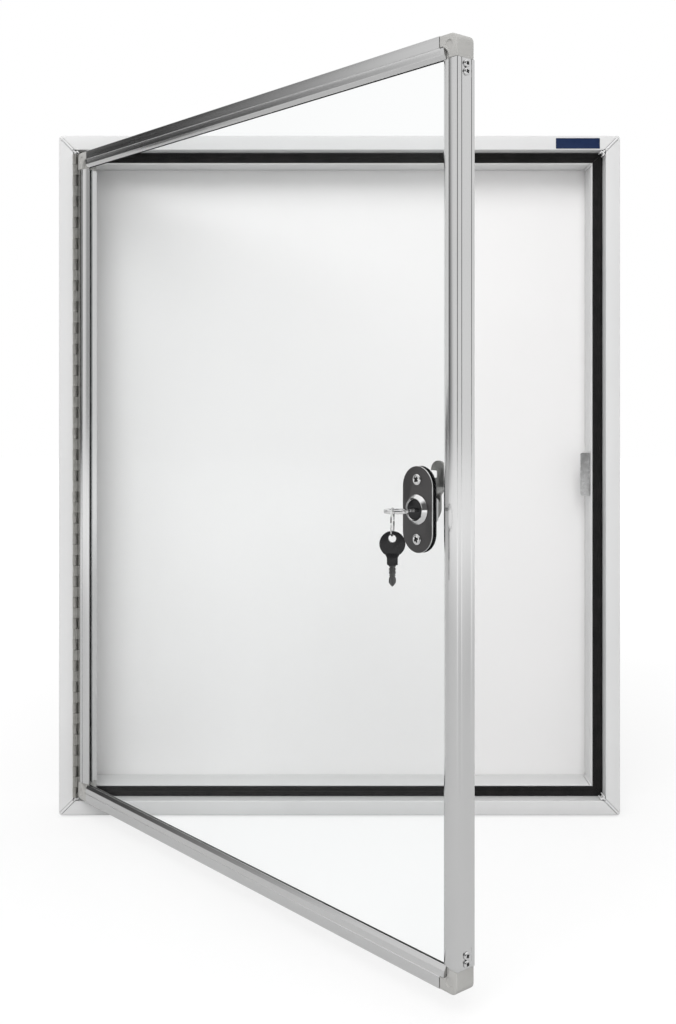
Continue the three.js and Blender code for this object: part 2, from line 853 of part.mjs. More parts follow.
// A block in a corner piece, from the door's side edge and from the edge along the rail
function cornerBlock(rail_along_x, [side_low, rail_low], [side_high, rail_high], front, back) {
  if (rail_along_x) return box([side_low, front, -rail_high], [side_high, back, -rail_low]);
  return box([rail_low, front, -side_high], [rail_high, back, -side_low]);
}

function doorCorners() {
  const along_x = doorCorner(true);
  const along_y = doorCorner(false);
  const half = door_height / 2;
  const corners = [
    ['door_corner_top_hinge', along_x, [door_side, half], 0],
    ['door_corner_top_lock', cut(along_y, ...lockCornerHoles(false)), [door_far, half], Math.PI / 2],
    ['door_corner_bottom_lock', cut(along_x, ...lockCornerHoles(true)), [door_far, -half], Math.PI],
    ['door_corner_bottom_hinge', along_y, [door_side, -half], -Math.PI / 2],
  ];
  return corners.map(([name, body, place, turn]) => onDoor(piece(name, body, corner_plastic), place, turn));
}

// Screw holes in the leg that lies in the lock side member
function lockCornerHoles(along_y) {
  const radius = corner_screw_shank_radius + fit_gap;
  const first = profile_width + corner_screw_first;
  return [first, first + corner_screw_pitch].map((along) => {
    const hole = new THREE.CylinderGeometry(radius, radius, 2 * corner_screw_length + 2 * cut_over, small_steps);
    if (along_y) return hole.rotateZ(Math.PI / 2).translate(0, corner_screw_deep, -along);
    return hole.rotateX(Math.PI / 2).translate(along, corner_screw_deep, 0);
  });
}

function doorCornerScrews() {
  const names = ['top_outer', 'top_inner', 'bottom_outer', 'bottom_inner'];
  const screw = panScrew(
    corner_screw_head_radius,
    corner_screw_head_height,
    corner_screw_shank_radius,
    corner_screw_length,
  ).rotateZ(-Math.PI / 2);
  return cornerScrewPlaces().map((along, i) => {
    const seated = screw.clone().translate(door_far + fit_gap, pin_stand + corner_screw_deep, along);
    return piece(`corner_screw_${names[i]}`, seated, chrome);
  });
}

// Pane and its seal
function pane() {
  const edge = box_width + fit_gap + seal_gap;
  const x_low = door_side + edge;
  const x_high = door_far - edge;
  const z = door_height / 2 - edge;
  const front = pin_stand + pane_front;
  const back = pin_stand + pane_back;
  const sheet = box([x_low, front, -z], [x_high, back, z]);
  const holes = lockHoles(housing_radius + fit_gap, front - cut_over, back + cut_over);
  return piece('glazing_pane', cut(sheet, ...holes), acrylic);
}

function frameRing(outer, inner, front, back) {
  const ring = (inset) => [
    [door_side + inset, -door_height / 2 + inset],
    [door_far - inset, -door_height / 2 + inset],
    [door_far - inset, door_height / 2 - inset],
    [door_side + inset, door_height / 2 - inset],
  ];
  const shape = outline(ring(outer));
  shape.holes.push(outline(ring(inner)));
  return plate(shape, front, back);
}

function glazingSeal() {
  const front = pin_stand + lip_back + seal_gap;
  const inner = lip_end + seal_show;
  return piece('glazing_seal', frameRing(inner - seal_width, inner, front, front + seal_thickness), rubber);
}

// Lock
function lockHoles(radius, front, back) {
  const screw_radius = lock_screw_shank_radius + fit_gap;
  return [
    rod(radius, front, back, round_steps).translate(lock_axis, 0, 0),
    rod(screw_radius, front, back).translate(lock_axis, 0, lock_screw_spacing / 2),
    rod(screw_radius, front, back).translate(lock_axis, 0, -lock_screw_spacing / 2),
  ];
}

function lockPlates() {
  const holes = lockHoles(housing_radius + fit_gap, -cut_over, back_plate_back + cut_over);
  const shape = oblong(lock_plate_length, lock_plate_width);
  const front = plate(shape, lock_plate_front, lock_plate_back, small_steps).translate(lock_axis, 0, 0);
  const back = plate(shape, back_plate_front, back_plate_back, small_steps).translate(lock_axis, 0, 0);
  const screw = panScrew(
    lock_screw_head_radius,
    lock_screw_head_height,
    lock_screw_shank_radius,
    back_plate_back + lock_screw_tail - lock_plate_front + fit_gap,
  ).rotateX(Math.PI);
  const screws = [['lock_screw_upper', 1], ['lock_screw_lower', -1]].map(([name, side]) => {
    const seat = lock_plate_front - fit_gap;
    return piece(name, screw.clone().translate(lock_axis, seat, side * lock_screw_spacing / 2), chrome);
  });
  return [
    piece('lock_front_plate', cut(front, ...holes), black_lacquer),
    piece('lock_back_plate', cut(back, ...holes), black_lacquer),
    ...screws,
  ];
}

function lockHousing() {
  const bore = plug_radius + fit_gap;
  const housing = turned([
    [bore, collar_front],
    [collar_face_radius, collar_front],
    [collar_radius, collar_back - collar_rim],
    [collar_radius, collar_back],
    [housing_radius, collar_back],
    [housing_radius, housing_back],
    [bore, housing_back],
    [bore, collar_front],
  ], round_steps);
  const nut_radius = nut_across_flats / Math.sqrt(3);
  const nut = cut(
    rod(nut_radius, nut_front, nut_back, 6),
    rod(housing_radius + fit_gap, nut_front - cut_over, nut_back + cut_over, round_steps),
  );
  return [
    piece('lock_housing', housing.translate(lock_axis, 0, 0), chrome),
    piece('lock_nut', nut.translate([lock_axis, 0, 0]), zinc),
  ];
}

function lockPlug() {
  const half_tang = tang_width / 2;
  const keyway_half_width = blade_width / 2 + fit_gap;
  const keyway_half_height = blade_plate / 2 + fit_gap;
  const keyway_back = plug_front + blade_length + keyway_spare;
  const plug = cut(
    join(
      rod(plug_radius, plug_front, plug_back, round_steps),
      box([-half_tang, plug_back - cut_over, -half_tang], [half_tang, tang_back, half_tang]),
    ),
    box(
      [-keyway_half_width, plug_front - cut_over, -keyway_half_height],
      [keyway_half_width, keyway_back, keyway_half_height],
    ),
    rod(cam_screw_shank_radius + fit_gap, tang_back - cam_screw_length, tang_back + cut_over),
  );
  return piece('lock_plug', plug.translate([lock_axis, 0, 0]), black_lacquer);
}

// The cam is a cranked strip, cut to its outline seen from the front
function lockCam() {
  const radius = cam_width / 2;
  const hook_front = cam_front + cam_crank;
  const hook_back = cam_back + cam_crank;
  const bend_end = cam_bend_start + cam_bend_run;
  const over = cut_over;
  const strip = extruded(outline([
    [cam_front, -radius - over],
    [cam_back, -radius - over],
    [cam_back, cam_bend_start],
    [hook_back, bend_end],
    [hook_back, cam_reach + over],
    [hook_front, cam_reach + over],
    [hook_front, bend_end + cam_thickness / 2],
    [cam_front, cam_bend_start + cam_thickness / 2],
  ]), cam_width + 2 * over, arc_steps)
    .translate(0, 0, -cam_width / 2 - over)
    .applyMatrix4(new THREE.Matrix4().makeBasis(
      new THREE.Vector3(0, 1, 0),
      new THREE.Vector3(0, 0, 1),
      new THREE.Vector3(1, 0, 0),
    ));
  const face = new THREE.Shape();
  face.absarc(0, cam_reach - radius, radius, 0, Math.PI, false);
  face.absarc(0, 0, radius, Math.PI, 2 * Math.PI, false);
  const notch_high = cam_notch_low + cam_notch_height;
  const half_hole = tang_width / 2 + fit_gap;
  const cam = cut(
    solid(strip).intersect(solid(plate(face, cam_front - over, hook_back + over, 2 * arc_steps))),
    box([-radius - over, cam_front, cam_notch_low], [cam_notch_depth - radius, hook_back + over, notch_high]),
    box([-half_hole, cam_front - over, -half_hole], [half_hole, cam_back + over, half_hole]),
  );
  const screw = panScrew(
    cam_screw_head_radius,
    cam_screw_head_height,
    cam_screw_shank_radius,
    cam_screw_length - fit_gap,
  ).translate(lock_axis, tang_back + fit_gap, 0);
  return [
    piece('lock_cam', cam.translate([lock_axis, 0, 0]), cam_steel),
    piece('cam_screw', screw, zinc),
  ];
}

// Key in the lock, lying flat, with a round bow that has a round hole
const bow_middle = pin_stand - bow_front;

function keyInLock() {
  const half_plate = key_plate / 2;
  const half_shoulder = key_shoulder_width / 2;
  const shoulder_back = plug_front - key_shoulder_stop;
  const bow = new THREE.CylinderGeometry(bow_radius, bow_radius, key_plate, round_steps)
    .rotateX(Math.PI / 2)
    .translate(0, bow_middle, 0);
  const hole = new THREE.CylinderGeometry(bow_hole_radius, bow_hole_radius, key_plate + cut_over, round_steps)
    .rotateX(Math.PI / 2)
    .translate(0, bow_middle, 0);
  const shoulder_front = bow_middle + (bow_radius + bow_hole_radius) / 2;
  const shoulder = box(
    [-half_shoulder, shoulder_front, -half_plate],
    [half_shoulder, shoulder_back, half_plate],
  );
  const blade = box(
    [-blade_width / 2, shoulder_back - cut_over, -blade_plate / 2],
    [blade_width / 2, plug_front + blade_length, blade_plate / 2],
  );
  return piece('key_in_lock', cut(join(bow, shoulder, blade), hole).translate([lock_axis, 0, 0]), key_metal);
}

// Ring over the bow's web, drawn about its own centre and turned about the upright axis
const ring_turn = ring_turn_degrees * degree;
const web_start = Math.sqrt(bow_hole_radius ** 2 - ring_aside ** 2);
const web_end = Math.sqrt(bow_radius ** 2 - ring_aside ** 2);
const ring_ahead = (web_start + web_end) / 2;
const ring_inner = ring_radius - ring_wire_radius;
const ring_drop = Math.sqrt(ring_inner ** 2 - ((web_end - web_start) / 2 + fit_gap) ** 2);
const ring_middle = key_plate / 2 + fit_gap - ring_drop;

function ringGroup() {
  const ahead = new THREE.Vector2(Math.sin(ring_turn), -Math.cos(ring_turn));
  const aside = new THREE.Vector2(ahead.y, -ahead.x);
  const group = new THREE.Group();
  group.position.set(
    lock_axis + ring_ahead * ahead.x + ring_aside * aside.x,
    bow_middle + ring_ahead * ahead.y + ring_aside * aside.y,
    ring_middle,
  );
  group.rotation.z = ring_turn;
  group.add(keyRing(), ...spareKey());
  return group;
}

// The ring lies in the plane x = 0
function keyRing() {
  const points = [];
  const sides = 8;
  for (let i = 0; i <= sides; i += 1) {
    const angle = 2 * Math.PI * (i % sides) / sides;
    points.push([ring_radius + ring_wire_radius * Math.cos(angle), ring_wire_radius * Math.sin(angle)]);
  }
  return piece('key_ring', turned(points, round_steps).rotateZ(Math.PI / 2), chrome);
}

// Second key, hanging from the ring by the hole in its head, facing along the ring's wire
function spareKey() {
  const hole_middle = -ring_radius + ring_wire_radius + fit_gap - spare_hole_radius;
  const head_middle = hole_middle + spare_hole_radius + spare_head_above_hole - spare_head_radius;
  const shoulder_end = head_middle - spare_head_radius + spare_blade_root - spare_shoulder_length;
  const half_head = spare_head_thickness / 2;
  const half_shoulder = spare_shoulder_width / 2;
  const half_flare = spare_flare_width / 2;
  const flare_high = head_middle - Math.sqrt(spare_head_radius ** 2 - half_flare ** 2);
  const flare_low = flare_high - spare_flare_height;
  const slot_half_plate = spare_blade_plate / 2 + fit_gap;
  const slot_half_width = spare_blade_width / 2 + fit_gap;
  const head = cut(
    join(
      rod(spare_head_radius, -half_head, half_head, round_steps).translate(0, 0, head_middle),
      box([-half_shoulder, -half_head, shoulder_end], [half_shoulder, half_head, head_middle]),
      plate(outline([
        [half_shoulder, flare_low],
        [half_flare, flare_high],
        [-half_flare, flare_high],
        [-half_shoulder, flare_low],
      ]), -half_head, half_head),
    ),
    rod(spare_hole_radius, -half_head - cut_over, half_head + cut_over).translate(0, 0, hole_middle),
    box(
      [-slot_half_width, -slot_half_plate, shoulder_end - cut_over],
      [slot_half_width, slot_half_plate, shoulder_end + spare_blade_root + fit_gap],
    ),
  );
  return [
    piece('spare_key_head', head, black_plastic),
    piece('spare_key_blade', spareBlade(shoulder_end), key_metal),
  ];
}

function spareBlade(shoulder_end) {
  const half = spare_blade_width / 2;
  const half_neck = spare_neck_width / 2;
  const half_tip = spare_tip_width / 2;
  const blade_end = shoulder_end - spare_blade_length;
  const tip_end = blade_end - spare_tip_length;
  const tooth = spare_blade_length / bitting_count;
  const edge = [[half, shoulder_end + spare_blade_root]];
  for (let i = 0; i < bitting_count; i += 1) {
    const low = shoulder_end - i * tooth;
    edge.push([half, low], [half - bitting_depth, low - tooth / 2]);
  }
  edge.push(
    [half, blade_end + tooth / 4],
    [half_neck, blade_end],
    [half_tip, blade_end - spare_tip_flare],
    [half_tip, tip_end + spare_tip_point],
  );
  const mirrored = edge.map(([x, z]) => [-x, z]).reverse();
  return plate(outline([...edge, [0, tip_end], ...mirrored]), -spare_blade_plate / 2, spare_blade_plate / 2);
}

// Door, drawn closed with the pin axis on its origin, then swung open about the pin
function door() {
  const group = new THREE.Group();
  group.add(
    ...doorMembers(),
    ...doorCorners(),
    ...doorCornerScrews(),
    pane(),
    glazingSeal(),
    hingeLeafOnDoor(),
    ...lockPlates(),
    ...lockHousing(),
    lockPlug(),
    ...lockCam(),
    keyInLock(),
    ringGroup(),
  );
  group.position.set(pin_in - half_width, pin_front - overall_depth, 0);
  group.rotation.z = -door_open_degrees * degree;
  return group;
}

const board = new THREE.Group();
board.add(
  ...frameMembers(),
  ...frameConnectors(),
  ...gaskets(),
  ...backPanels(),
  ...strike(),
  hingeOnCabinet(),
  door(),
);

export default board;
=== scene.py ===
"""Finished looks of the lockable notice board, laid out as an add-on. Metres; the front faces -Y."""

import json
import math

import bmesh
import bpy
from mathutils import Matrix, Vector
from mathutils.geometry import tessellate_polygon

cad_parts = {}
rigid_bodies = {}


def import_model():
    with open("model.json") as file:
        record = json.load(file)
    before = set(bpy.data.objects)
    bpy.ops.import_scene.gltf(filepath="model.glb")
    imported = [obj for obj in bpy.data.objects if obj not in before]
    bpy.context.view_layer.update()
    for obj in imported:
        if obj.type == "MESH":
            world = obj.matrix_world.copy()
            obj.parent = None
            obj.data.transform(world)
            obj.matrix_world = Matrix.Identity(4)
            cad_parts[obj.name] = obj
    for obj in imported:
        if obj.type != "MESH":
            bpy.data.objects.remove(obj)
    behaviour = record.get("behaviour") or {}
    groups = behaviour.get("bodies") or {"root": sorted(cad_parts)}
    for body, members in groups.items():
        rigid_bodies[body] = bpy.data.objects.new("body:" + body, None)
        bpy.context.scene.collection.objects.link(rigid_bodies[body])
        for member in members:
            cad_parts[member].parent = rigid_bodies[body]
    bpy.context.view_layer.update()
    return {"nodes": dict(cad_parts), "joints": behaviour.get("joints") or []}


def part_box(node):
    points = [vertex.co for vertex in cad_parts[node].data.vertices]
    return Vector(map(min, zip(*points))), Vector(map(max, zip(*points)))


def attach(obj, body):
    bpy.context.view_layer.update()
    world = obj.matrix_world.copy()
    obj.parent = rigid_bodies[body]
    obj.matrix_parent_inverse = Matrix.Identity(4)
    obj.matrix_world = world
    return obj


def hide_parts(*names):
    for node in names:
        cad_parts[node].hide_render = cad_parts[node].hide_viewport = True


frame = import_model()

bl_info = {
    "name": "Lockable notice board",
    "version": (1, 0, 0),
    "blender": (4, 5, 0),
    "location": "View3D > Sidebar > Notice board",
    "description": "Builds the finished pieces of a wall notice board and a studio round it",
    "category": "Object",
}

MM = 0.001
POLE = 0.01 * MM  # radius at which a turned profile stops short of its axis
JOINTS = {joint["name"]: joint for joint in frame["joints"]}


def rotation(degrees, axis):
    return Matrix.Rotation(math.radians(degrees), 4, axis)


def place_of_door():
    """The door's own frame: x along the door from the pin, y back through it, z up."""
    hinge = JOINTS["door_hinge"]
    return Matrix.Translation(hinge["pos_m"]) @ rotation(hinge["range_deg"][0], "Z")


def place_of_lock():
    """The door's frame moved to the lock's axis."""
    door = place_of_door()
    along = door.inverted() @ Vector(JOINTS["lock_turn"]["pos_m"])
    return door @ Matrix.Translation((along.x, 0, 0))


def place_of_ring():
    """The ring's frame, under the point it hangs from: x across the ring, y along it."""
    axis = Vector(JOINTS["ring_swing"]["axis"])
    turn = math.degrees(math.atan2(axis.y, axis.x))
    return Matrix.Translation(JOINTS["ring_swing"]["pos_m"]) @ rotation(turn, "Z")


# Sizes and colours


def grey(level, warmth=0.0):
    """A linear grey; warmth above zero takes some blue away."""
    return (level * (1 + warmth * 0.3), level, level * (1 - warmth))


def size(name, text, value):
    """A length in metres whose default is given in millimetres."""
    return bpy.props.FloatProperty(
        name=name,
        description=text,
        default=value * MM,
        unit="LENGTH",
        precision=5,
    )


def colour(name, text, value):
    return bpy.props.FloatVectorProperty(
        name=name,
        description=text,
        default=value,
        subtype="COLOR",
        min=0,
        max=1,
    )


def count(name, text, value):
    return bpy.props.IntProperty(name=name, description=text, default=value, min=1)


class CabinetSizes(bpy.types.PropertyGroup):
    width: size("Width", "Cabinet width", 545)
    height: size("Height", "Cabinet height", 660)
    depth: size("Depth", "Cabinet depth", 50)
    wall: size("Wall", "Wall of the frame's hollow profile", 1.6)
    lip: size("Lip width", "Flat front band of the frame", 13.8)
    recess: size("Recess", "Depth from the front to the ledge", 15.3)
    bead_out: size("Bead start", "Where the bead starts, from the outer edge", 23.9)
    bead_height: size("Bead height", "How far the bead stands off the ledge", 1.3)
    web: size("Inner edge", "Inner wall of the frame, from the outer edge", 25.2)
    rebate_in: size("Rebate edge", "Inner edge of the rear flange", 19.5)
    rebate_front: size("Rebate front", "Depth from the front to the rear rebate", 45.1)
    edge_round: size("Edge round", "Round of the profile's edges", 0.55)
    bead_round: size("Bead round", "Round of the bead's edges", 0.6)
    mitre_set: size("Mitre set-back", "From the mitre plane to a member's end", 1.5)
    rib: size("Rib thickness", "Thickness of the rib in each mitre", 2.4)
    rib_stand: size("Rib stand", "How far the rib stands off the front", 0.4)
    rib_round: size("Rib round", "Round of the rib's ridge", 0.95)


class HingeSizes(bpy.types.PropertyGroup):
    barrel: size("Barrel radius", "Outer radius of the knuckles", 1.8)
    bore: size("Bore radius", "Inner radius of the knuckles", 1.2)
    pin: size("Pin radius", "Radius of the pin", 0.88)
    pitch: size("Pitch", "Distance from one knuckle to the next", 10.2)
    gap: size("Gap", "Gap between two knuckles", 0.3)
    knuckles: count("Knuckles", "Knuckles of both leaves together", 61)
    leaf: size("Leaf thickness", "Thickness of both leaves", 0.9)
    frame_leaf: size("Frame leaf", "Outer face of the frame leaf, from the pin", -2.3)
    door_leaf: size("Door leaf", "Inner face of the door leaf, from the pin", 1.4)
    roll_round: size("Roll round", "Round of each knuckle's rims", 0.18)


class DoorSizes(bpy.types.PropertyGroup):
    near: size("Near edge", "Hinge side of the door, from the pin", 2.6)
    width: size("Width", "Door width", 507)
    height: size("Height", "Door height", 623)
    front: size("Front", "Front face of the door, behind the pin", 2)
    depth: size("Depth", "Thickness of the door's frame", 16.4)
    leg: size("Corner size", "Width of a moulded corner", 16.2)
    band: size("Band", "Flat front band of the door's frame", 8)
    edge_round: size("Edge round", "Round of the profile's edges", 0.45)
    corner_round: size("Corner round", "Round of a moulded corner", 5)
    corner_inset: size("Corner inset", "How far a moulded corner is set in", 0.5)
    dimple: size("Dimple radius", "Radius of the mark in each corner", 3.3)
    dimple_set: size("Dimple place", "From the edges of a corner to the mark's middle", 7.6)
    dimple_depth: size("Dimple depth", "Depth of the mark in each corner", 0.8)
    lip_stop: size("Lip stop", "Where the rails' lips end, from the door's side edge", 13.2)


class LockSizes(bpy.types.PropertyGroup):
    plate_length: size("Plate length", "Length of both lock plates", 58.4)
    plate_width: size("Plate width", "Width of both lock plates", 28.2)
    plate_front: size("Plate front", "Front face of the front plate, behind the pin", 5.8)
    plate: size("Plate thickness", "Thickness of the front plate", 1)
    back_front: size("Back plate", "Front face of the back plate, behind the pin", 9.4)
    back: size("Back plate thickness", "Thickness of the back plate", 0.8)
    collar: size("Collar radius", "Radius of the lock's collar", 10.2)
    collar_front: size("Collar front", "Front face of the collar, behind the pin", 2.6)
    housing: size("Housing radius", "Radius of the lock's housing", 9)
    housing_back: size("Housing back", "Back of the housing, behind the pin", 19.7)
    plug: size("Plug radius", "Radius of the plug", 6.8)
    screw_spacing: size("Screw spacing", "Distance between the plate screws", 40.2)
    cam_width: size("Cam width", "Width of the cam", 13.4)
    cam_reach: size("Cam reach", "From the axis to the cam's tip", 32.2)
    cam: size("Cam thickness", "Thickness of the cam", 1.6)
    cam_front: size("Cam front", "Front of the cam's foot, behind the pin", 20.7)
    cam_crank: size("Cam crank", "How far the cam's hook is set back", 4.7)
    key: size("Key thickness", "Thickness of the key's bow", 2.4)
    bow: size("Bow radius", "Radius of the key's bow", 8.7)
    bow_hole: size("Bow hole", "Radius of the hole in the bow", 4.9)
    bow_front: size("Bow front", "From the door's front face to the bow's middle", 15)
    ring: size("Ring radius", "Radius of the key ring's wire line", 9)
    wire: size("Wire radius", "Half of the key ring's thickness", 0.6)


class StudioSizes(bpy.types.PropertyGroup):
    lens: bpy.props.FloatProperty(
        name="Lens",
        description="Focal length in millimetres",
        default=42.0,
    )
    shift: bpy.props.FloatProperty(
        name="Shift",
        description="Vertical shift of the lens",
        default=-0.1101,
    )
    camera_x: size("Camera x", "Camera position", -1.46)
    camera_y: size("Camera y", "Camera position", -1209.9)
    camera_z: size("Camera z", "Camera position", 74)
    floor_drop: size("Floor drop", "Gap between the cabinet and the floor", 1.5)


class FinishColours(bpy.types.PropertyGroup):
    frame: colour("Frame", "Anodised metal of the cabinet's frame", grey(0.70))
    door: colour("Door", "Anodised metal of the door's frame", grey(0.755))
    corners: colour("Corners", "Moulded corners of the door", grey(0.415, 0.035))
    sheet: colour("Sheet", "Enamel of the sheet at the back", (0.85, 0.843, 0.841))
    board: colour("Board", "Board behind the sheet", grey(0.36, 0.05))
    lacquer: colour("Lock plate", "Lacquer of the lock's front plate", (0.028, 0.02625, 0.02675))
    label: colour("Label plate", "Blank plate on the frame", (0.012, 0.0235, 0.0675))


# Meshes


WELD, PACKED_WELD = 1e-7, 1e-6  # distances under which points are one, here and in packed meshes
FLAT_WITHIN = 0.6  # degrees between faces that are taken for one


def rounded(points, radius, steps=4):
    """A closed outline with its corners rounded; a point may carry a radius of its own."""
    loop = []
    for i, point in enumerate(points):
        here = Vector(point[:2])
        back = Vector(points[i - 1][:2]) - here
        ahead = Vector(points[(i + 1) % len(points)][:2]) - here
        wanted = point[2] if len(point) > 2 else radius
        angle = back.angle(ahead)
        if wanted <= 0 or angle > math.radians(175):
            loop.append(here)
            continue
        reach = min(wanted / math.tan(angle / 2), 0.49 * back.length, 0.49 * ahead.length)
        middle = here + (back.normalized() + ahead.normalized()).normalized() * reach / math.cos(angle / 2)
        start = here + back.normalized() * reach - middle
        turn = start.angle_signed(here + ahead.normalized() * reach - middle)
        for k in range(steps + 1):
            spin = Matrix.Rotation(-turn * k / steps, 2)
            loop.append(middle + spin @ start)
    return loop


def arc(centre, radius, start, end, steps):
    """Points along an arc, from one angle in degrees to another."""
    angles = [math.radians(start + (end - start) * k / steps) for k in range(steps + 1)]
    return [(centre[0] + radius * math.cos(a), centre[1] + radius * math.sin(a)) for a in angles]


def circle(radius, steps):
    return arc((0, 0), radius, 0, 360, steps)[:-1]


def rectangle(x_low, z_low, x_high, z_high):
    return [(x_low, z_low), (x_high, z_low), (x_high, z_high), (x_low, z_high)]


def mesh_of(points, faces):
    """A welded mesh with its faces turned outward."""
    mesh = bpy.data.meshes.new("piece")
    mesh.from_pydata([tuple(p) for p in points], [], faces)
    grid = bmesh.new()
    grid.from_mesh(mesh)
    bmesh.ops.remove_doubles(grid, verts=grid.verts, dist=WELD)
    bmesh.ops.recalc_face_normals(grid, faces=grid.faces)
    if grid.calc_volume(signed=True) < 0:
        bmesh.ops.reverse_faces(grid, faces=grid.faces)
    grid.to_mesh(mesh)
    grid.free()
    return mesh


def loft(rings, closed=False):
    """A mesh through rings of points; open ends get caps, a closed run joins its last ring to its first."""
    points = [point for ring in rings for point in ring]
    around = len(rings[0])
    faces = []
    for r in range(len(rings) if closed else len(rings) - 1):
        low = r * around
        high = (r + 1) % len(rings) * around
        for k in range(around):
            after = (k + 1) % around
            faces.append((low + k, low + after, high + after, high + k))
    if not closed:
        faces.append(tuple(range(around)))
        faces.append(tuple(range(len(points) - around, len(points))))
    return mesh_of(points, faces)


def inset(outline, distance):
    """The outline moved inward by a distance, each point along its own corner's bisector."""
    area = sum(a[0] * b[1] - b[0] * a[1] for a, b in zip(outline, outline[1:] + outline[:1]))
    side = 1 if area > 0 else -1
    moved = []
    for i, point in enumerate(outline):
        here = Vector(point[:2])
        before = (here - Vector(outline[i - 1][:2])).normalized()
        after = (Vector(outline[(i + 1) % len(outline)][:2]) - here).normalized()
        normal = Vector((-before.y - after.y, before.x + after.x)).normalized() * side
        square = max(0.3, normal.dot(Vector((-before.y, before.x)) * side))
        moved.append(here + normal * distance / square)
    return moved


def plate(outline, front, back, edge=0.0, steps=3):
    """An outline drawn x across and z up, made thick along y, with its rims rounded."""
    levels = [(front, 0.0), (back, 0.0)]
    if edge > 0:
        angles = [math.pi / 2 * k / steps for k in range(steps + 1)]
        near = [(front + edge * (1 - math.sin(a)), edge * (1 - math.cos(a))) for a in reversed(angles)]
        levels = near + [(front + back - y, step) for y, step in reversed(near)]
    rings = []
    for y, step in levels:
        ring = inset(outline, step) if step else outline
        rings.append([(p[0], y, p[1]) for p in ring])
    return loft(rings)


def turned(profile, steps=64, closed=False):
    """A profile of (radius, y) points turned about the y axis."""
    spins = [(math.cos(2 * math.pi * k / steps), math.sin(2 * math.pi * k / steps)) for k in range(steps)]
    rings = [[(r * c, y, r * s) for c, s in spins] for r, y in profile]
    return loft(rings, closed)


def rod(radius, start, end, steps):
    """A plain round solid along the y axis."""
    return turned([(POLE, start), (radius, start), (radius, end), (POLE, end)], steps)


def swept(section, path):
    """A section carried along a path of (origin, x direction, y direction)."""
    return loft([[o + x * p[0] + y * p[1] for p in section] for o, x, y in path])


def evaluated(mesh, setup):
    """The mesh after the modifiers that setup adds."""
    carrier = bpy.data.objects.new("carrier", mesh)
    bpy.context.scene.collection.objects.link(carrier)
    setup(carrier)
    bpy.context.view_layer.update()
    ready = carrier.evaluated_get(bpy.context.evaluated_depsgraph_get())
    result = bpy.data.meshes.new_from_object(ready)
    bpy.data.objects.remove(carrier)
    return result


def combined(mesh, operation, *others):
    """The exact union, difference or intersection of a mesh with others."""
    for other in others:
        tool = bpy.data.objects.new("tool", other)
        bpy.context.scene.collection.objects.link(tool)

        def setup(carrier):
            step = carrier.modifiers.new("combine", "BOOLEAN")
            step.operation = operation
            step.solver = "EXACT"
            step.object = tool

        mesh = evaluated(mesh, setup)
        bpy.data.objects.remove(tool)
        if not mesh.polygons:
            raise RuntimeError("a cut or union left nothing")
    return mesh


def softened(mesh, width, steps=2, limit=35):
    """The mesh with its sharp edges rounded."""
    grid = bmesh.new()
    grid.from_mesh(mesh)
    bmesh.ops.remove_doubles(grid, verts=grid.verts, dist=PACKED_WELD)
    flat = math.radians(FLAT_WITHIN)
    bmesh.ops.dissolve_limit(grid, angle_limit=flat, verts=grid.verts, edges=grid.edges)
    clean = bpy.data.meshes.new("piece")
    grid.to_mesh(clean)
    grid.free()

    def setup(carrier):
        step = carrier.modifiers.new("soften", "BEVEL")
        step.width = width
        step.segments = steps
        step.limit_method = "ANGLE"
        step.angle_limit = math.radians(limit)
        step.use_clamp_overlap = True

    return evaluated(clean, setup)


def cad_mesh(node):
    """A copy of a packed node's mesh."""
    mesh = frame["nodes"][node].data.copy()
    mesh.materials.clear()
    return mesh


def moved(mesh, matrix):
    mesh.transform(matrix)
    if matrix.determinant() < 0:
        mesh.flip_normals()
    return mesh


def joined(*meshes):
    """Several closed meshes as one."""
    grid = bmesh.new()
    for mesh in meshes:
        grid.from_mesh(mesh)
    whole = bpy.data.meshes.new("piece")
    grid.to_mesh(whole)
    grid.free()
    return whole


def show(name, mesh, body, finish, nodes, smooth=32):
    """A finished piece that stands for its packed nodes and rides on their body."""
    mesh.name = name
    if not mesh.materials:
        mesh.materials.append(FINISHES[finish]())
    mesh.shade_smooth()
    mesh.set_sharp_from_angle(angle=math.radians(smooth))
    piece = bpy.data.objects.new(name, mesh)
    bpy.context.scene.collection.objects.link(piece)
    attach(piece, body)
    if nodes:
        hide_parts(*nodes)
    return piece


# Repeats


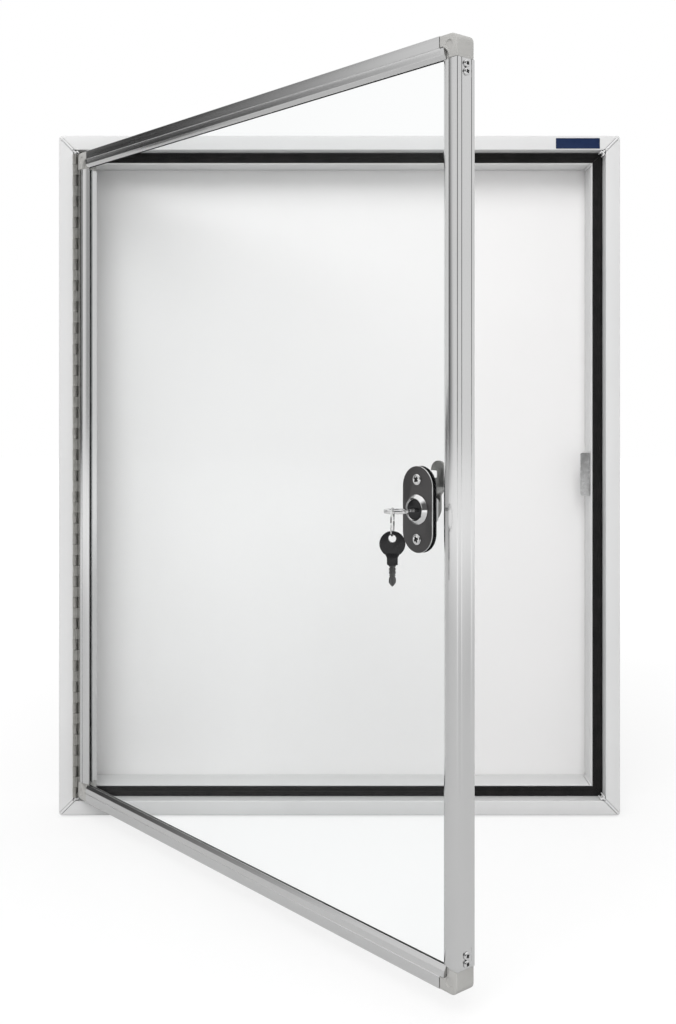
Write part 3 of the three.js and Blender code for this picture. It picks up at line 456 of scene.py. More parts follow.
def repeat_tree():
    """A node tree that sets a piece along a line, each one turned at random about a cross axis."""
    tree = bpy.data.node_groups.get("Repeat along a line")
    if tree:
        return tree
    tree = bpy.data.node_groups.new("Repeat along a line", "GeometryNodeTree")
    for name, kind in (
        ("Piece", "Geometry"),
        ("Count", "Int"),
        ("Start", "Vector"),
        ("Step", "Vector"),
        ("Turn axis", "Vector"),
        ("Turn", "Float"),
        ("Finish", "Material"),
    ):
        tree.interface.new_socket(name, in_out="INPUT", socket_type=f"NodeSocket{kind}")
    tree.interface.new_socket("Pieces", in_out="OUTPUT", socket_type="NodeSocketGeometry")
    given = tree.nodes.new("NodeGroupInput")
    result = tree.nodes.new("NodeGroupOutput")
    line = tree.nodes.new("GeometryNodeMeshLine")
    line.mode = "OFFSET"
    spread = tree.nodes.new("FunctionNodeRandomValue")
    spread.inputs["Seed"].default_value = 7
    scale = tree.nodes.new("ShaderNodeMath")
    scale.operation = "MULTIPLY"
    spin = tree.nodes.new("FunctionNodeAxisAngleToRotation")
    place = tree.nodes.new("GeometryNodeInstanceOnPoints")
    real = tree.nodes.new("GeometryNodeRealizeInstances")
    slot = tree.nodes.new("GeometryNodeInputMaterialIndex")
    first = tree.nodes.new("FunctionNodeBooleanMath")
    first.operation = "NOT"
    cover = tree.nodes.new("GeometryNodeSetMaterial")
    wire = tree.links.new
    wire(given.outputs["Count"], line.inputs["Count"])
    wire(given.outputs["Start"], line.inputs["Start Location"])
    wire(given.outputs["Step"], line.inputs["Offset"])
    wire(spread.outputs[1], scale.inputs[0])
    wire(given.outputs["Turn"], scale.inputs[1])
    wire(given.outputs["Turn axis"], spin.inputs["Axis"])
    wire(scale.outputs[0], spin.inputs["Angle"])
    wire(line.outputs["Mesh"], place.inputs["Points"])
    wire(given.outputs["Piece"], place.inputs["Instance"])
    wire(spin.outputs["Rotation"], place.inputs["Rotation"])
    wire(place.outputs["Instances"], real.inputs["Geometry"])
    wire(real.outputs["Geometry"], cover.inputs["Geometry"])
    wire(slot.outputs["Material Index"], first.inputs[0])
    wire(first.outputs[0], cover.inputs["Selection"])
    wire(given.outputs["Finish"], cover.inputs["Material"])
    wire(cover.outputs["Geometry"], result.inputs["Pieces"])
    return tree


def repeated(mesh, number, start, step, finish, turn=0.0, axis=(0, 1, 0)):
    """A piece repeated along a line, as one plain mesh; the finish covers its first material slot."""
    tree = repeat_tree()
    keys = {item.name: item.identifier for item in tree.interface.items_tree if item.in_out == "INPUT"}
    values = {
        "Count": number,
        "Start": start,
        "Step": step,
        "Turn axis": axis,
        "Turn": turn,
        "Finish": FINISHES[finish](),
    }

    def setup(carrier):
        nodes = carrier.modifiers.new("repeat", "NODES")
        nodes.node_group = tree
        for name, value in values.items():
            nodes[keys[name]] = value

    return evaluated(mesh, setup)


# Materials


class Recipe:
    """A material under construction: one Principled shader and the nodes that feed it."""

    def __init__(self, name, **values):
        self.material = bpy.data.materials.new(name)
        self.material.use_nodes = True
        self.tree = self.material.node_tree
        self.tree.nodes.clear()
        self.shader = self.add("ShaderNodeBsdfPrincipled", **values)
        self.output = self.add("ShaderNodeOutputMaterial")
        self.link(self.shader.outputs[0], self.output.inputs["Surface"])
        self.place = self.add("ShaderNodeTexCoord").outputs["Object"]

    def add(self, kind, settings=None, **values):
        """Adds a node. A value named after an input sets it, and a socket is linked to it."""
        node = self.tree.nodes.new(kind)
        for name, value in (settings or {}).items():
            setattr(node, name, value)
        for name, value in values.items():
            socket = node.inputs[name.replace("_", " ")]
            if isinstance(value, bpy.types.NodeSocket):
                self.link(value, socket)
            else:
                socket.default_value = value
        return node

    def link(self, start, end):
        self.tree.links.new(start, end)

    def finish(self, node):
        """Puts another shader in the place of the Principled one."""
        self.tree.nodes.remove(self.shader)
        self.link(node.outputs[0], self.output.inputs["Surface"])

    def feed(self, name, socket):
        self.link(socket, self.shader.inputs[name])

    def stretched(self, scale, turn=0.0):
        """The place on the piece, turned about the upright axis and stretched."""
        upright = self.add("ShaderNodeMapping", Vector=self.place, Rotation=(0, 0, -turn))
        return self.add("ShaderNodeMapping", Vector=upright.outputs[0], Scale=scale).outputs[0]

    def worked_out(self, operation, *values):
        """The result of arithmetic on sockets and numbers."""
        node = self.add("ShaderNodeMath", {"operation": operation})
        for socket, value in zip(node.inputs, values):
            if isinstance(value, bpy.types.NodeSocket):
                self.link(value, socket)
            else:
                socket.default_value = value
        return node.outputs[0]

    def mixed(self, factor, first, second):
        """The shader between two others."""
        node = self.add("ShaderNodeMixShader", Fac=factor)
        self.link(first.outputs[0], node.inputs[1])
        self.link(second.outputs[0], node.inputs[2])
        return node

    def noise(self, scale, detail=2.0, roughness=0.5, place=None):
        node = self.add(
            "ShaderNodeTexNoise",
            Vector=place or self.place,
            Scale=scale,
            Detail=detail,
            Roughness=roughness,
        )
        return node.outputs[0]

    def between(self, factor, low, high, start=0.3, end=0.7):
        """A number from low to high as the factor goes from start to end."""
        node = self.add(
            "ShaderNodeMapRange",
            Value=factor,
            From_Min=start,
            From_Max=end,
            To_Min=low,
            To_Max=high,
        )
        return node.outputs[0]

    def colours(self, factor, low, high, start=0.3, end=0.7):
        ramp = self.add("ShaderNodeValToRGB", Fac=factor)
        ramp.color_ramp.elements[0].position = start
        ramp.color_ramp.elements[1].position = end
        ramp.color_ramp.elements[0].color = (*low, 1)
        ramp.color_ramp.elements[1].color = (*high, 1)
        return ramp.outputs[0]

    def bump(self, height, distance, strength=1.0):
        node = self.add("ShaderNodeBump", Height=height, Distance=distance, Strength=strength)
        self.feed("Normal", node.outputs[0])


def once(build):
    """Keeps the material that a recipe makes, so that it is made once."""
    made = {}

    def get():
        if "it" not in made:
            made["it"] = build().material
        return made["it"]

    return get


def shades(name, spread):
    """A darker and a lighter shade of one of the scene's colours."""
    middle = getattr(bpy.context.scene.board_colours, name)
    return [[part * (1 + way * spread) for part in middle] for way in (-1, 1)]


def speckled(name, tone, dark, light, rough, bump=None, **values):
    """A finish with fine changes of tone, gloss and height.

    tone is a noise's scale and detail, rough is the same with the least and the greatest roughness, and
    bump the same with a depth and a strength.
    """
    recipe = Recipe(name, **values)
    recipe.feed("Base Color", recipe.colours(recipe.noise(*tone), dark, light))
    recipe.feed("Roughness", recipe.between(recipe.noise(*rough[:2]), *rough[2:]))
    if bump:
        recipe.bump(recipe.noise(*bump[:2]), *bump[2:])
    return recipe


def aluminium(name, dark, light, rough, metal, turn=0.0, lines=0.4, stretch=(1.0, 1.0, 0.02)):
    """Anodised metal: fine grain, die lines along the profile and slow changes of tone."""
    recipe = Recipe(name, Metallic=metal)
    recipe.feed("Base Color", recipe.colours(recipe.noise(7.0, 3.0), dark, light))
    fine = recipe.noise(1500.0, 2.0, 0.6)
    drawn = recipe.noise(700.0, 2.0, 0.5, recipe.stretched(stretch, turn))
    both = recipe.worked_out("ADD", fine, drawn)
    recipe.feed("Roughness", recipe.between(both, rough - 0.02, rough + 0.03, 0.7, 1.3))
    recipe.bump(drawn, 0.000006, lines)
    return recipe


LEVEL = (0.02, 1.0, 1.0)  # stretch that lays the die lines along a level member


def frame_upright():
    return aluminium("frame upright", *shades("frame", 0.0286), 0.42, 0.12)


def frame_level():
    return aluminium("frame level", *shades("frame", 0.0286), 0.42, 0.12, stretch=LEVEL)


def door_upright():
    return aluminium("door upright", *shades("door", 0.0199), 0.14, 1.0, DOOR_TURN, 0.25)


def door_level():
    return aluminium("door level", *shades("door", 0.0199), 0.14, 1.0, DOOR_TURN, 0.25, LEVEL)


def corner_plastic():
    shade = shades("corners", 0.0361)
    return speckled("moulded plastic", (60, 4), *shade, (900, 3, 0.42, 0.58), (2600, 2, 0.00003, 0.4))


def rubber():
    return speckled(
        "rubber",
        (90, 4),
        (0.007, 0.007, 0.007),
        (0.014, 0.013, 0.013),
        (700, 3, 0.6, 0.85),
        (3000, 3, 0.00004, 0.6),
        Specular_IOR_Level=0.25,
    )


def enamel():
    return speckled(
        "white enamel",
        (4, 2),
        *shades("sheet", 0.0178),
        (500, 2, 0.3, 0.4),
        (240, 3, 0.00004, 0.25),
        Coat_Weight=0.2,
        Coat_Roughness=0.1,
    )


def board():
    recipe = Recipe("grey board", Roughness=0.85)
    fibre = recipe.noise(300.0, 5.0, 0.7, recipe.stretched((1.0, 1.0, 0.25)))
    recipe.feed("Base Color", recipe.colours(fibre, *shades("board", 0.1667)))
    recipe.bump(fibre, 0.0001, 0.5)
    return recipe


def zinc():
    recipe = Recipe("zinc", Metallic=0.9)
    cells = recipe.add("ShaderNodeTexVoronoi", Vector=recipe.place, Scale=420.0)
    patch = recipe.add("ShaderNodeSeparateColor", Color=cells.outputs["Color"]).outputs[0]
    recipe.feed("Base Color", recipe.colours(patch, grey(0.52), grey(0.68), 0.0, 1.0))
    recipe.feed("Roughness", recipe.between(patch, 0.3, 0.5, 0.0, 1.0))
    recipe.bump(recipe.noise(1500.0, 3.0), 0.00003, 0.4)
    return recipe


def hinge_metal():
    dark, light = grey(0.42, 0.06), grey(0.53, 0.05)
    rough, bump = (1200, 3, 0.42, 0.56), (2000, 2, 0.00002, 0.3)
    return speckled("hinge metal", (160, 3), dark, light, rough, bump, Metallic=0.95)


def chrome():
    return speckled("chrome", (300, 3), grey(0.70), grey(0.80), (900, 3, 0.04, 0.09), Metallic=1.0)


def lacquer():
    return speckled(
        "black lacquer",
        (50, 3),
        *shades("lacquer", 0.1429),
        (1500, 3, 0.32, 0.44),
        (2400, 2, 0.00001, 0.3),
        Coat_Weight=0.35,
        Coat_Roughness=0.08,
    )


def black_gloss():
    return speckled(
        "black gloss",
        (60, 3),
        (0.006, 0.006, 0.0065),
        (0.012, 0.012, 0.013),
        (900, 3, 0.16, 0.28),
        Specular_IOR_Level=0.3,
        Coat_Weight=0.08,
        Coat_Roughness=0.05,
    )


def cut_edge():
    return speckled("bright edge", (500, 3), grey(0.62), grey(0.78), (1500, 3, 0.15, 0.3), Metallic=1.0)


def acrylic():
    """Clear sheet: seen through, with a thin gloss of its own."""
    recipe = Recipe("acrylic")
    tint = recipe.colours(recipe.noise(3.0, 2.0), (0.985, 0.99, 0.99), (0.99, 0.994, 0.994))
    clear = recipe.add("ShaderNodeBsdfTransparent", Color=tint)
    gloss = recipe.add("ShaderNodeBsdfGlossy", Roughness=0.03)
    edge_on = recipe.add("ShaderNodeLayerWeight", Blend=0.5).outputs["Facing"]
    recipe.finish(recipe.mixed(recipe.between(edge_on, 0.004, 0.03, 0.2, 1.0), clear, gloss))
    return recipe


def cam_steel():
    dark, light = grey(0.20, 0.03), grey(0.34, 0.02)
    rough, bump = (450, 4, 0.28, 0.5), (1300, 3, 0.00003, 0.5)
    return speckled("cam steel", (190, 5, 0.6), dark, light, rough, bump, Metallic=0.9)


def key_nickel():
    recipe = Recipe("key nickel", Metallic=1.0)
    drawn = recipe.noise(1500.0, 3.0, 0.5, recipe.stretched((1.0, 0.1, 1.0), DOOR_TURN))
    recipe.feed("Base Color", recipe.colours(drawn, grey(0.66), grey(0.78)))
    recipe.feed("Roughness", recipe.between(drawn, 0.1, 0.24))
    return recipe


def key_steel():
    recipe = Recipe("spare key metal", Metallic=1.0)
    drawn = recipe.noise(1500.0, 3.0, 0.5, recipe.stretched((1.0, 1.0, 0.1)))
    recipe.feed("Base Color", recipe.colours(drawn, grey(0.06), grey(0.15)))
    recipe.feed("Roughness", recipe.between(drawn, 0.2, 0.36))
    return recipe


def label_blue():
    shade = shades("label", 0.13)
    return speckled("blue plate", (80, 3), *shade, (700, 3, 0.3, 0.42), Specular_IOR_Level=0.15)


def grime():
    """Oil and dirt at the bottom of a screw's recess."""
    return speckled("grime", (900, 3), grey(0.006), grey(0.03), (1400, 3, 0.3, 0.6), Specular_IOR_Level=0.4)


FLOOR_SIDE = 14
FLOOR_GLOW = (1.36, 1.68)  # strength of the white that the camera sees, near the board and far from it
FLOOR_GLOW_REACH = (0.3, 1.6)  # metres from the floor's middle between which the strength grows
FLOOR_SEEN = 0.5  # share of that white in what the camera sees
FLOOR_MIRRORED = 0.42  # share of it in what metal mirrors, far out
FLOOR_MIRRORED_REACH = (1.3, 2.8)  # metres between which that share grows
FLOOR_BESIDE = (0.35, 0.9)  # metres behind the board between which that share fades


def floor_white():
    """A pale floor that carries the object's shadow, white to the camera and bright far out in metal."""
    recipe = Recipe("floor", Roughness=0.9)
    recipe.feed("Base Color", recipe.colours(recipe.noise(2.0, 3.0), grey(0.57), grey(0.59)))
    length = recipe.add("ShaderNodeVectorMath", {"operation": "LENGTH"})
    recipe.link(recipe.place, length.inputs[0])
    away = length.outputs["Value"]
    glow = recipe.between(away, *FLOOR_GLOW, *FLOOR_GLOW_REACH)
    white = recipe.add("ShaderNodeEmission", Strength=glow)
    ray = recipe.add("ShaderNodeLightPath")
    seen = recipe.worked_out("MULTIPLY", ray.outputs["Is Camera Ray"], FLOOR_SEEN)
    distant = recipe.between(away, 0.0, FLOOR_MIRRORED, *FLOOR_MIRRORED_REACH)
    across = recipe.add("ShaderNodeSeparateXYZ", Vector=recipe.place)
    beside = recipe.between(across.outputs["Y"], 1.0, 0.0, *FLOOR_BESIDE)
    mirrored = recipe.worked_out("MULTIPLY", distant, beside)
    share = recipe.worked_out("MULTIPLY_ADD", ray.outputs["Is Glossy Ray"], mirrored, seen)
    whole = recipe.mixed(share, recipe.shader, white)
    recipe.link(whole.outputs[0], recipe.output.inputs["Surface"])
    return recipe


DOOR_TURN = math.radians(JOINTS["door_hinge"]["range_deg"][0])
FINISHES = {
    recipe.__name__: once(recipe)
    for recipe in (
        frame_upright,
        frame_level,
        door_upright,
        door_level,
        corner_plastic,
        rubber,
        enamel,
        board,
        zinc,
        hinge_metal,
        chrome,
        lacquer,
        black_gloss,
        cut_edge,
        acrylic,
        cam_steel,
        key_nickel,
        key_steel,
        label_blue,
        floor_white,
        grime,
    )
}


# Cabinet


def side_place(sizes, side):
    """Where a member drawn from the outer edge inward sits: x inward, y back, z along it."""
    half_w, half_h = sizes.width / 2, sizes.height / 2
    spots = {
        "left": (-half_w, 0, 0),
        "top": (0, half_h, 90),
        "right": (half_w, 0, 180),
        "bottom": (0, -half_h, -90),
        "top_left": (-half_w, half_h, 0),
        "top_right": (half_w, half_h, 90),
        "bottom_right": (half_w, -half_h, 180),
        "bottom_left": (-half_w, -half_h, -90),
    }
    x, z, turn = spots[side]
    return Matrix.Translation((x, -sizes.depth, z)) @ rotation(turn, "Y")


def frame_outline(s):
    """The frame's profile: flat band, side of the recess, ledge, bead, inner wall, rebate, rear flange."""
    r = s.bead_round
    return rounded(
        [
            (0, 0, 0.9 * MM),
            (s.lip, 0),
            (s.lip, s.recess, 0.3 * MM),
            (s.bead_out, s.recess, 0.2 * MM),
            (s.bead_out, s.recess - s.bead_height, r),
            (s.web, s.recess - s.bead_height, r),
            (s.web, s.rebate_front, 0.3 * MM),
            (s.rebate_in, s.rebate_front, 0.2 * MM),
            (s.rebate_in, s.depth, 0.3 * MM),
            (0, s.depth),
        ],
        s.edge_round,
    )


def frame_hollow(s):
    w = s.wall
    corners = [
        (w, w),
        (s.lip - w, w),
        (s.lip - w, s.recess + 1.4 * MM),
        (s.web - w, s.recess + 1.4 * MM),
        (s.web - w, s.rebate_front - w),
        (s.rebate_in - w, s.rebate_front - w),
        (s.rebate_in - w, s.depth - w),
        (w, s.depth - w),
    ]
    return [Vector(c) for c in corners]


def hollow_bar(outer, inner, end):
    """A hollow bar; end gives each profile point's distance from the middle."""
    points = []
    faces = []
    for side in (-1, 1):
        for loop in (outer, inner):
            points += [(p.x, p.y, side * end(p)) for p in loop]
    n, m = len(outer), len(inner)
    half = n + m
    for start, length in ((0, n), (n, m)):
        for k in range(length):
            a, b = start + k, start + (k + 1) % length
            faces.append((a, b, b + half, a + half))
    flat = [[Vector((p.x, p.y, 0)) for p in loop] for loop in (outer, inner)]
    for tri in tessellate_polygon(flat):
        faces.append(tuple(tri))
        faces.append(tuple(i + half for i in reversed(tri)))
    return mesh_of(points, faces)


def keyhole(s, along, head, slot):
    """A cutter for a keyhole through the rear flange, drawn in a member's frame."""
    front, back = s.depth - 3.5 * MM, s.depth + 2 * MM
    head_r, slot_r = 4.3 * MM, 2.3 * MM
    hole = moved(plate(circle(head_r, 32), front, back), Matrix.Translation((head, 0, along)))
    if slot > head:
        run = arc((slot, 0), slot_r, -90, 90, 12) + [(head, slot_r), (head, -slot_r)]
    else:
        run = arc((slot, 0), slot_r, 90, 270, 12) + [(head, -slot_r), (head, slot_r)]
    groove = moved(plate(run, front, back), Matrix.Translation((0, 0, along)))
    return combined(hole, "UNION", groove)


def build_frame_members(s):
    """Four mitred members; the level ones have a keyhole near each end, its slot above its head."""
    outer, inner = frame_outline(s), frame_hollow(s)
    set_back = s.mitre_set * math.sqrt(2)
    head, slot = 11.8 * MM, 5.3 * MM
    along = s.width * 0.35
    members = (
        ("left", "frame_stile_left", s.height, "frame_upright", None),
        ("right", "frame_stile_right", s.height, "frame_upright", None),
        ("top", "frame_rail_top", s.width, "frame_level", (head, slot)),
        ("bottom", "frame_rail_bottom", s.width, "frame_level", (slot, head)),
    )
    for side, node, length, finish, hole in members:
        mesh = hollow_bar(outer, inner, lambda p, reach=length / 2: reach - p.x - set_back)
        if hole:
            cutters = [keyhole(s, sign * along, *hole) for sign in (-1, 1)]
            mesh = combined(mesh, "DIFFERENCE", *cutters)
        mesh = moved(mesh, side_place(s, side))
        show(f"finished_{node}", mesh, "cabinet", finish, [node])


def build_frame_corners(s):
    """Mitre connectors: a rib that stands off the front, a fork at its inner end, two legs inside."""
    root = math.sqrt(2)
    start = 1.25 * MM
    web = s.web * root + 0.5 * MM
    bead = s.bead_out * root + s.rib / 2 - 0.25 * MM
    profile = rounded(
        [
            (start, -s.rib_stand, 1.6 * MM),
            (s.lip * root, -s.rib_stand, 0.6 * MM),
            (s.lip * root, s.recess, 0),
            (bead, s.recess, 0),
            (bead, s.recess - s.bead_height, 0.3 * MM),
            (web, s.recess - s.bead_height, 0.6 * MM),
            (web, s.rebate_front, 0),
            (s.rebate_in * root, s.rebate_front, 0),
            (s.rebate_in * root, s.depth, 0),
            (start, s.depth, 0.3 * MM),
        ],
        0,
        6,
    )
    half, r = s.rib / 2, s.rib_round
    levels = []
    for k in range(6):
        angle = math.pi / 2 * k / 5
        levels.append((-half + r * (1 - math.sin(angle)), r * (1 - math.cos(angle))))
    levels = levels[::-1] + [(-z, step) for z, step in levels]
    rings = []
    for z, step in levels:
        rings.append([(max(p.x, start + step), max(p.y, -s.rib_stand + step), z) for p in profile])
    rib = moved(loft(rings), rotation(45, "Y"))
    inner = s.lip * root
    finger_in, finger_out = 1.25 * MM, 2.45 * MM
    stem, neck, bar, tip, deep = inner - 2 * MM, inner + 2.9 * MM, inner + 3.9 * MM, inner + 5.9 * MM, 8 * MM
    fork_outline = rounded(
        [
            (stem, -half),
            (neck, -half),
            (neck, -finger_out),
            (tip, -finger_out, 0.4 * MM),
            (tip, -finger_in, 0.4 * MM),
            (bar, -finger_in, 0.3 * MM),
            (bar, finger_in, 0.3 * MM),
            (tip, finger_in, 0.4 * MM),
            (tip, finger_out, 0.4 * MM),
            (neck, finger_out),
            (neck, half),
            (stem, half),
        ],
        0.2 * MM,
        3,
    )
    fork = plate([(x, -z) for x, z in fork_outline], 0.8 * MM, 0.8 * MM + deep, 0.25 * MM)
    fork = moved(fork, rotation(45, "Y"))
    play = 0.3 * MM
    near, far, reach = s.wall + play, s.lip - s.wall - play, 42 * MM
    legs = plate(
        [(near, -near), (reach, -near), (reach, -far), (far, -far), (far, -reach), (near, -reach)],
        near,
        s.rebate_front - s.wall - play,
    )
    whole = combined(rib, "UNION", fork, legs)
    for corner in ("top_left", "top_right", "bottom_right", "bottom_left"):
        node = f"frame_corner_{corner}"
        mesh = moved(whole.copy(), side_place(s, corner))
        show(f"finished_{node}", mesh, "cabinet", "frame_upright", [node], 40)


def build_gaskets(s):
    """Mitred strips on the ledge, with a shallow groove along the middle."""
    play, thick = 0.3 * MM, 1 * MM
    out, inn, back = s.lip + play, s.bead_out - play, s.recess - play
    front = back - thick
    groove = out + (inn - out) * 0.55
    section = rounded(
        [
            (out, back, 0.15 * MM),
            (out, front, 0.45 * MM),
            (groove - 1.2 * MM, front, 0.3 * MM),
            (groove - 0.7 * MM, front + 0.45 * MM, 0.25 * MM),
            (groove + 0.7 * MM, front + 0.45 * MM, 0.25 * MM),
            (groove + 1.2 * MM, front, 0.3 * MM),
            (inn, front, 0.45 * MM),
            (inn, back, 0.15 * MM),
        ],
        0,
        4,
    )
    for side, length in (("top", s.width), ("bottom", s.width), ("left", s.height), ("right", s.height)):
        rings = [[(p.x, p.y, e * (length / 2 - p.x - 0.04 * MM)) for p in section] for e in (-1, 1)]
        mesh = moved(loft(rings), side_place(s, side))
        show(f"finished_gasket_{side}", mesh, "cabinet", "rubber", [f"gasket_{side}"], 40)


def build_back_panels():
    for node, finish in (("magnetic_sheet", "enamel"), ("backing_board", "board")):
        mesh = softened(cad_mesh(node), 0.2 * MM, 2)
        show(f"finished_{node}", mesh, "cabinet", finish, [node])


def pan_screw(head, height, shank, length, recess, finish="chrome"):
    """A pan head screw with a cross recess, its head towards -Y and its seat at the origin."""
    tip = 2 * POLE
    rim, flat = head * 0.62, head * 0.38
    profile = [
        (tip, length),
        (shank * 0.55, length),
        (shank * 0.8, length - shank * 0.5),
        (shank, length - shank),
        (shank, 0),
        (head * 0.97, 0),
        (head, -0.06 * head),
        *((rim + flat * c, -0.3 * height - 0.7 * height * s) for c, s in arc((0, 0), 1, 0, 90, 9)),
        (tip, -height),
    ]
    body = turned(profile, 40)
    wide, half = recess * 0.17, recess / 2
    above, floor = -height * 1.3, -height * 0.25
    arms = []
    for turn in (0, 90):
        slit = loft(
            [
                [(x * wide * k, y, z * half * m) for x, z in rectangle(-1, -1, 1, 1)]
                for y, k, m in ((above, 1.25, 1.1), (floor, 0.8, 0.45))
            ]
        )
        arms.append(moved(slit, rotation(turn, "Y")))
    centre = turned([(POLE, above), (wide * 1.9, above), (wide * 1.1, floor), (POLE, floor * 0.4)], 16)
    screw = combined(body, "DIFFERENCE", combined(arms[0], "UNION", arms[1], centre))
    screw.materials.clear()
    screw.materials.append(FINISHES[finish]())
    # The faces inside the cross recess take a near-black second finish: painted shade in the recess.
    screw.materials.append(FINISHES["grime"]())
    for face in screw.polygons:
        out = math.hypot(face.center.x, face.center.z)
        face.material_index = int(-height * 0.84 < face.center.y < 0 and out < half * 1.05)
    return screw


def build_strike():
    body = softened(cad_mesh("strike_plate"), 0.35 * MM, 3)
    show("finished_strike_plate", body, "cabinet", "zinc", ["strike_plate"], 45)
    low, high = (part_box(f"strike_screw_{end}") for end in ("lower", "upper"))
    length = 5 * MM
    seat = max(p.x for p in low) - length
    middle = [(box[0] + box[1]) / 2 for box in (low, high)]
    screw = pan_screw(2.5 * MM, 1.5 * MM, 1.4 * MM, length, 2.6 * MM, "zinc")
    screw = moved(screw, rotation(-90, "Z"))
    start = Vector((seat, middle[0].y, middle[0].z))
    step = Vector((0, 0, middle[1].z - middle[0].z))
    mesh = repeated(screw, 2, start, step, "zinc", 1.4, (1, 0, 0))
    nodes = ["strike_screw_upper", "strike_screw_lower"]
    show("finished_strike_screws", mesh, "cabinet", "zinc", nodes)


# Hinge


def knuckle(h, leaf_low, leaf_side):
    """One knuckle and its strap, upright about the pin, standing on the origin."""
    length, r = h.pitch - h.gap, h.roll_round
    rim = [(x, r - y) for x, y in arc((h.barrel - r, 0), r, 90, 0, 3)]
    profile = [(h.bore, 0), *rim, *((x, length - y) for x, y in reversed(rim)), (h.bore, length)]
    upright = rotation(90, "X")
    barrel = moved(turned(profile, 32, True), upright)
    back = h.barrel + 0.9 * MM
    high = leaf_low + h.leaf
    inner, outer = (high, leaf_low) if leaf_side < 0 else (leaf_low, high)
    strap = rounded(
        [
            (inner, 0, 0),
            (leaf_side * h.barrel, 0, 0),
            (outer, 1.3 * MM, 0.6 * MM),
            (outer, back, 0),
            (inner, back, 0),
        ],
        0,
        5,
    )
    strap_mesh = loft([[(p.x, p.y, z) for p in strap] for z in (0, length)])
    past = 2 * MM
    bore = moved(rod(h.bore, -past, length + past, 32), upright)
    return combined(barrel, "UNION", combined(strap_mesh, "DIFFERENCE", bore))


def leaf(h, low, back):
    """The flat of a leaf, behind its knuckles."""
    half = h.pitch * h.knuckles / 2 - h.gap / 2
    return plate(rectangle(low, -half, low + h.leaf, half), h.barrel + 0.5 * MM, back, 0.15 * MM, 2)


def build_hinge(h):
    at_pin = Matrix.Translation(JOINTS["door_hinge"]["pos_m"])
    low = -h.pitch * h.knuckles / 2 + h.gap / 2
    fits = (
        ("cabinet", at_pin, h.frame_leaf, -1, 0, "hinge_leaf_frame", 18.4 * MM),
        ("door", place_of_door(), h.door_leaf, 1, 1, "hinge_leaf_door", 16.4 * MM),
    )
    for body, place, leaf_low, side, first, node, back in fits:
        row = repeated(
            knuckle(h, leaf_low, side),
            (h.knuckles + 1 - first) // 2,
            Vector((0, 0, low + first * h.pitch)),
            Vector((0, 0, 2 * h.pitch)),
            "hinge_metal",
        )
        mesh = moved(joined(row, leaf(h, leaf_low, back)), place)
        show(f"finished_{node}", mesh, body, "hinge_metal", [node], 40)
    reach = h.pitch * h.knuckles / 2 + 0.4 * MM
    neck, bevel = h.pin * 0.7, 0.3 * MM
    profile = [(POLE, -reach), (neck, -reach), (h.pin, -reach + bevel)]
    profile += [(x, -y) for x, y in reversed(profile)]
    pin = moved(turned(profile, 24), at_pin @ rotation(90, "X"))
    show("finished_hinge_pin", pin, "cabinet", "hinge_metal", ["hinge_pin"])


# Door


def door_side(d, side):
    """Where a member or a corner of the door drawn from its outer edge inward sits."""
    middle, far, half = d.near + d.width / 2, d.near + d.width, d.height / 2
    spots = {
        "top": (middle, half, 90),
        "bottom": (middle, -half, -90),
        "hinge": (d.near, 0, 0),
        "lock": (far, 0, 180),
        "top_hinge": (d.near, half, 0),
        "top_lock": (far, half, 90),
        "bottom_lock": (far, -half, 180),
        "bottom_hinge": (d.near, -half, -90),
    }
    x, z, turn = spots[side]
    return place_of_door() @ Matrix.Translation((x, d.front, z)) @ rotation(turn, "Y")


# The door frame's profile in millimetres: inward from the outer edge, back from the front, round
DOOR_WEB = 7.9
DOOR_LIP = ((12.4, 1.5, 0.6), (15.4, 3.3, 0.25), (15.4, 4.2, 0.1))


def side_groove(front, back):
    """One shallow groove in the outer side, drawn from the back forward."""
    deep, slope, r = 0.35, 0.2, 0.15
    return [(0, back, r), (deep, back - slope, r), (deep, front + slope, r), (0, front, r)]


def door_outline(d):
    """Flat band, step and sloped lip in front, the pane's seat and its bead inside, two grooves outside."""
    band, depth = (round(value / MM, 4) for value in (d.band, d.depth))
    lip_back, seat, bead, bead_back = DOOR_LIP[-1][1], 8.5, 13.0, 9.7
    points = [
        (0, 0, 0.6),
        (band, 0, 0.12),
        (band, 0.7, 0.1),
        *DOOR_LIP,
        (DOOR_WEB, lip_back, 0),
        (DOOR_WEB, seat, 0),
        (bead, seat, 0.2),
        (bead, bead_back, 0.2),
        (DOOR_WEB, bead_back, 0.2),
        (DOOR_WEB, depth, 0.4),
        (0, depth, 0.5),
        *side_groove(11.9, 13.5),
        *side_groove(2.5, 4.3),
    ]
    return rounded([(x * MM, y * MM, r * MM) for x, y, r in points], 0, 4)


def door_hollow():
    """The room inside the profile, behind walls of 1.7 and 1.5 mm."""
    return [Vector(p) * MM for p in rectangle(1.7, 1.7, 6.4, 14.7)]


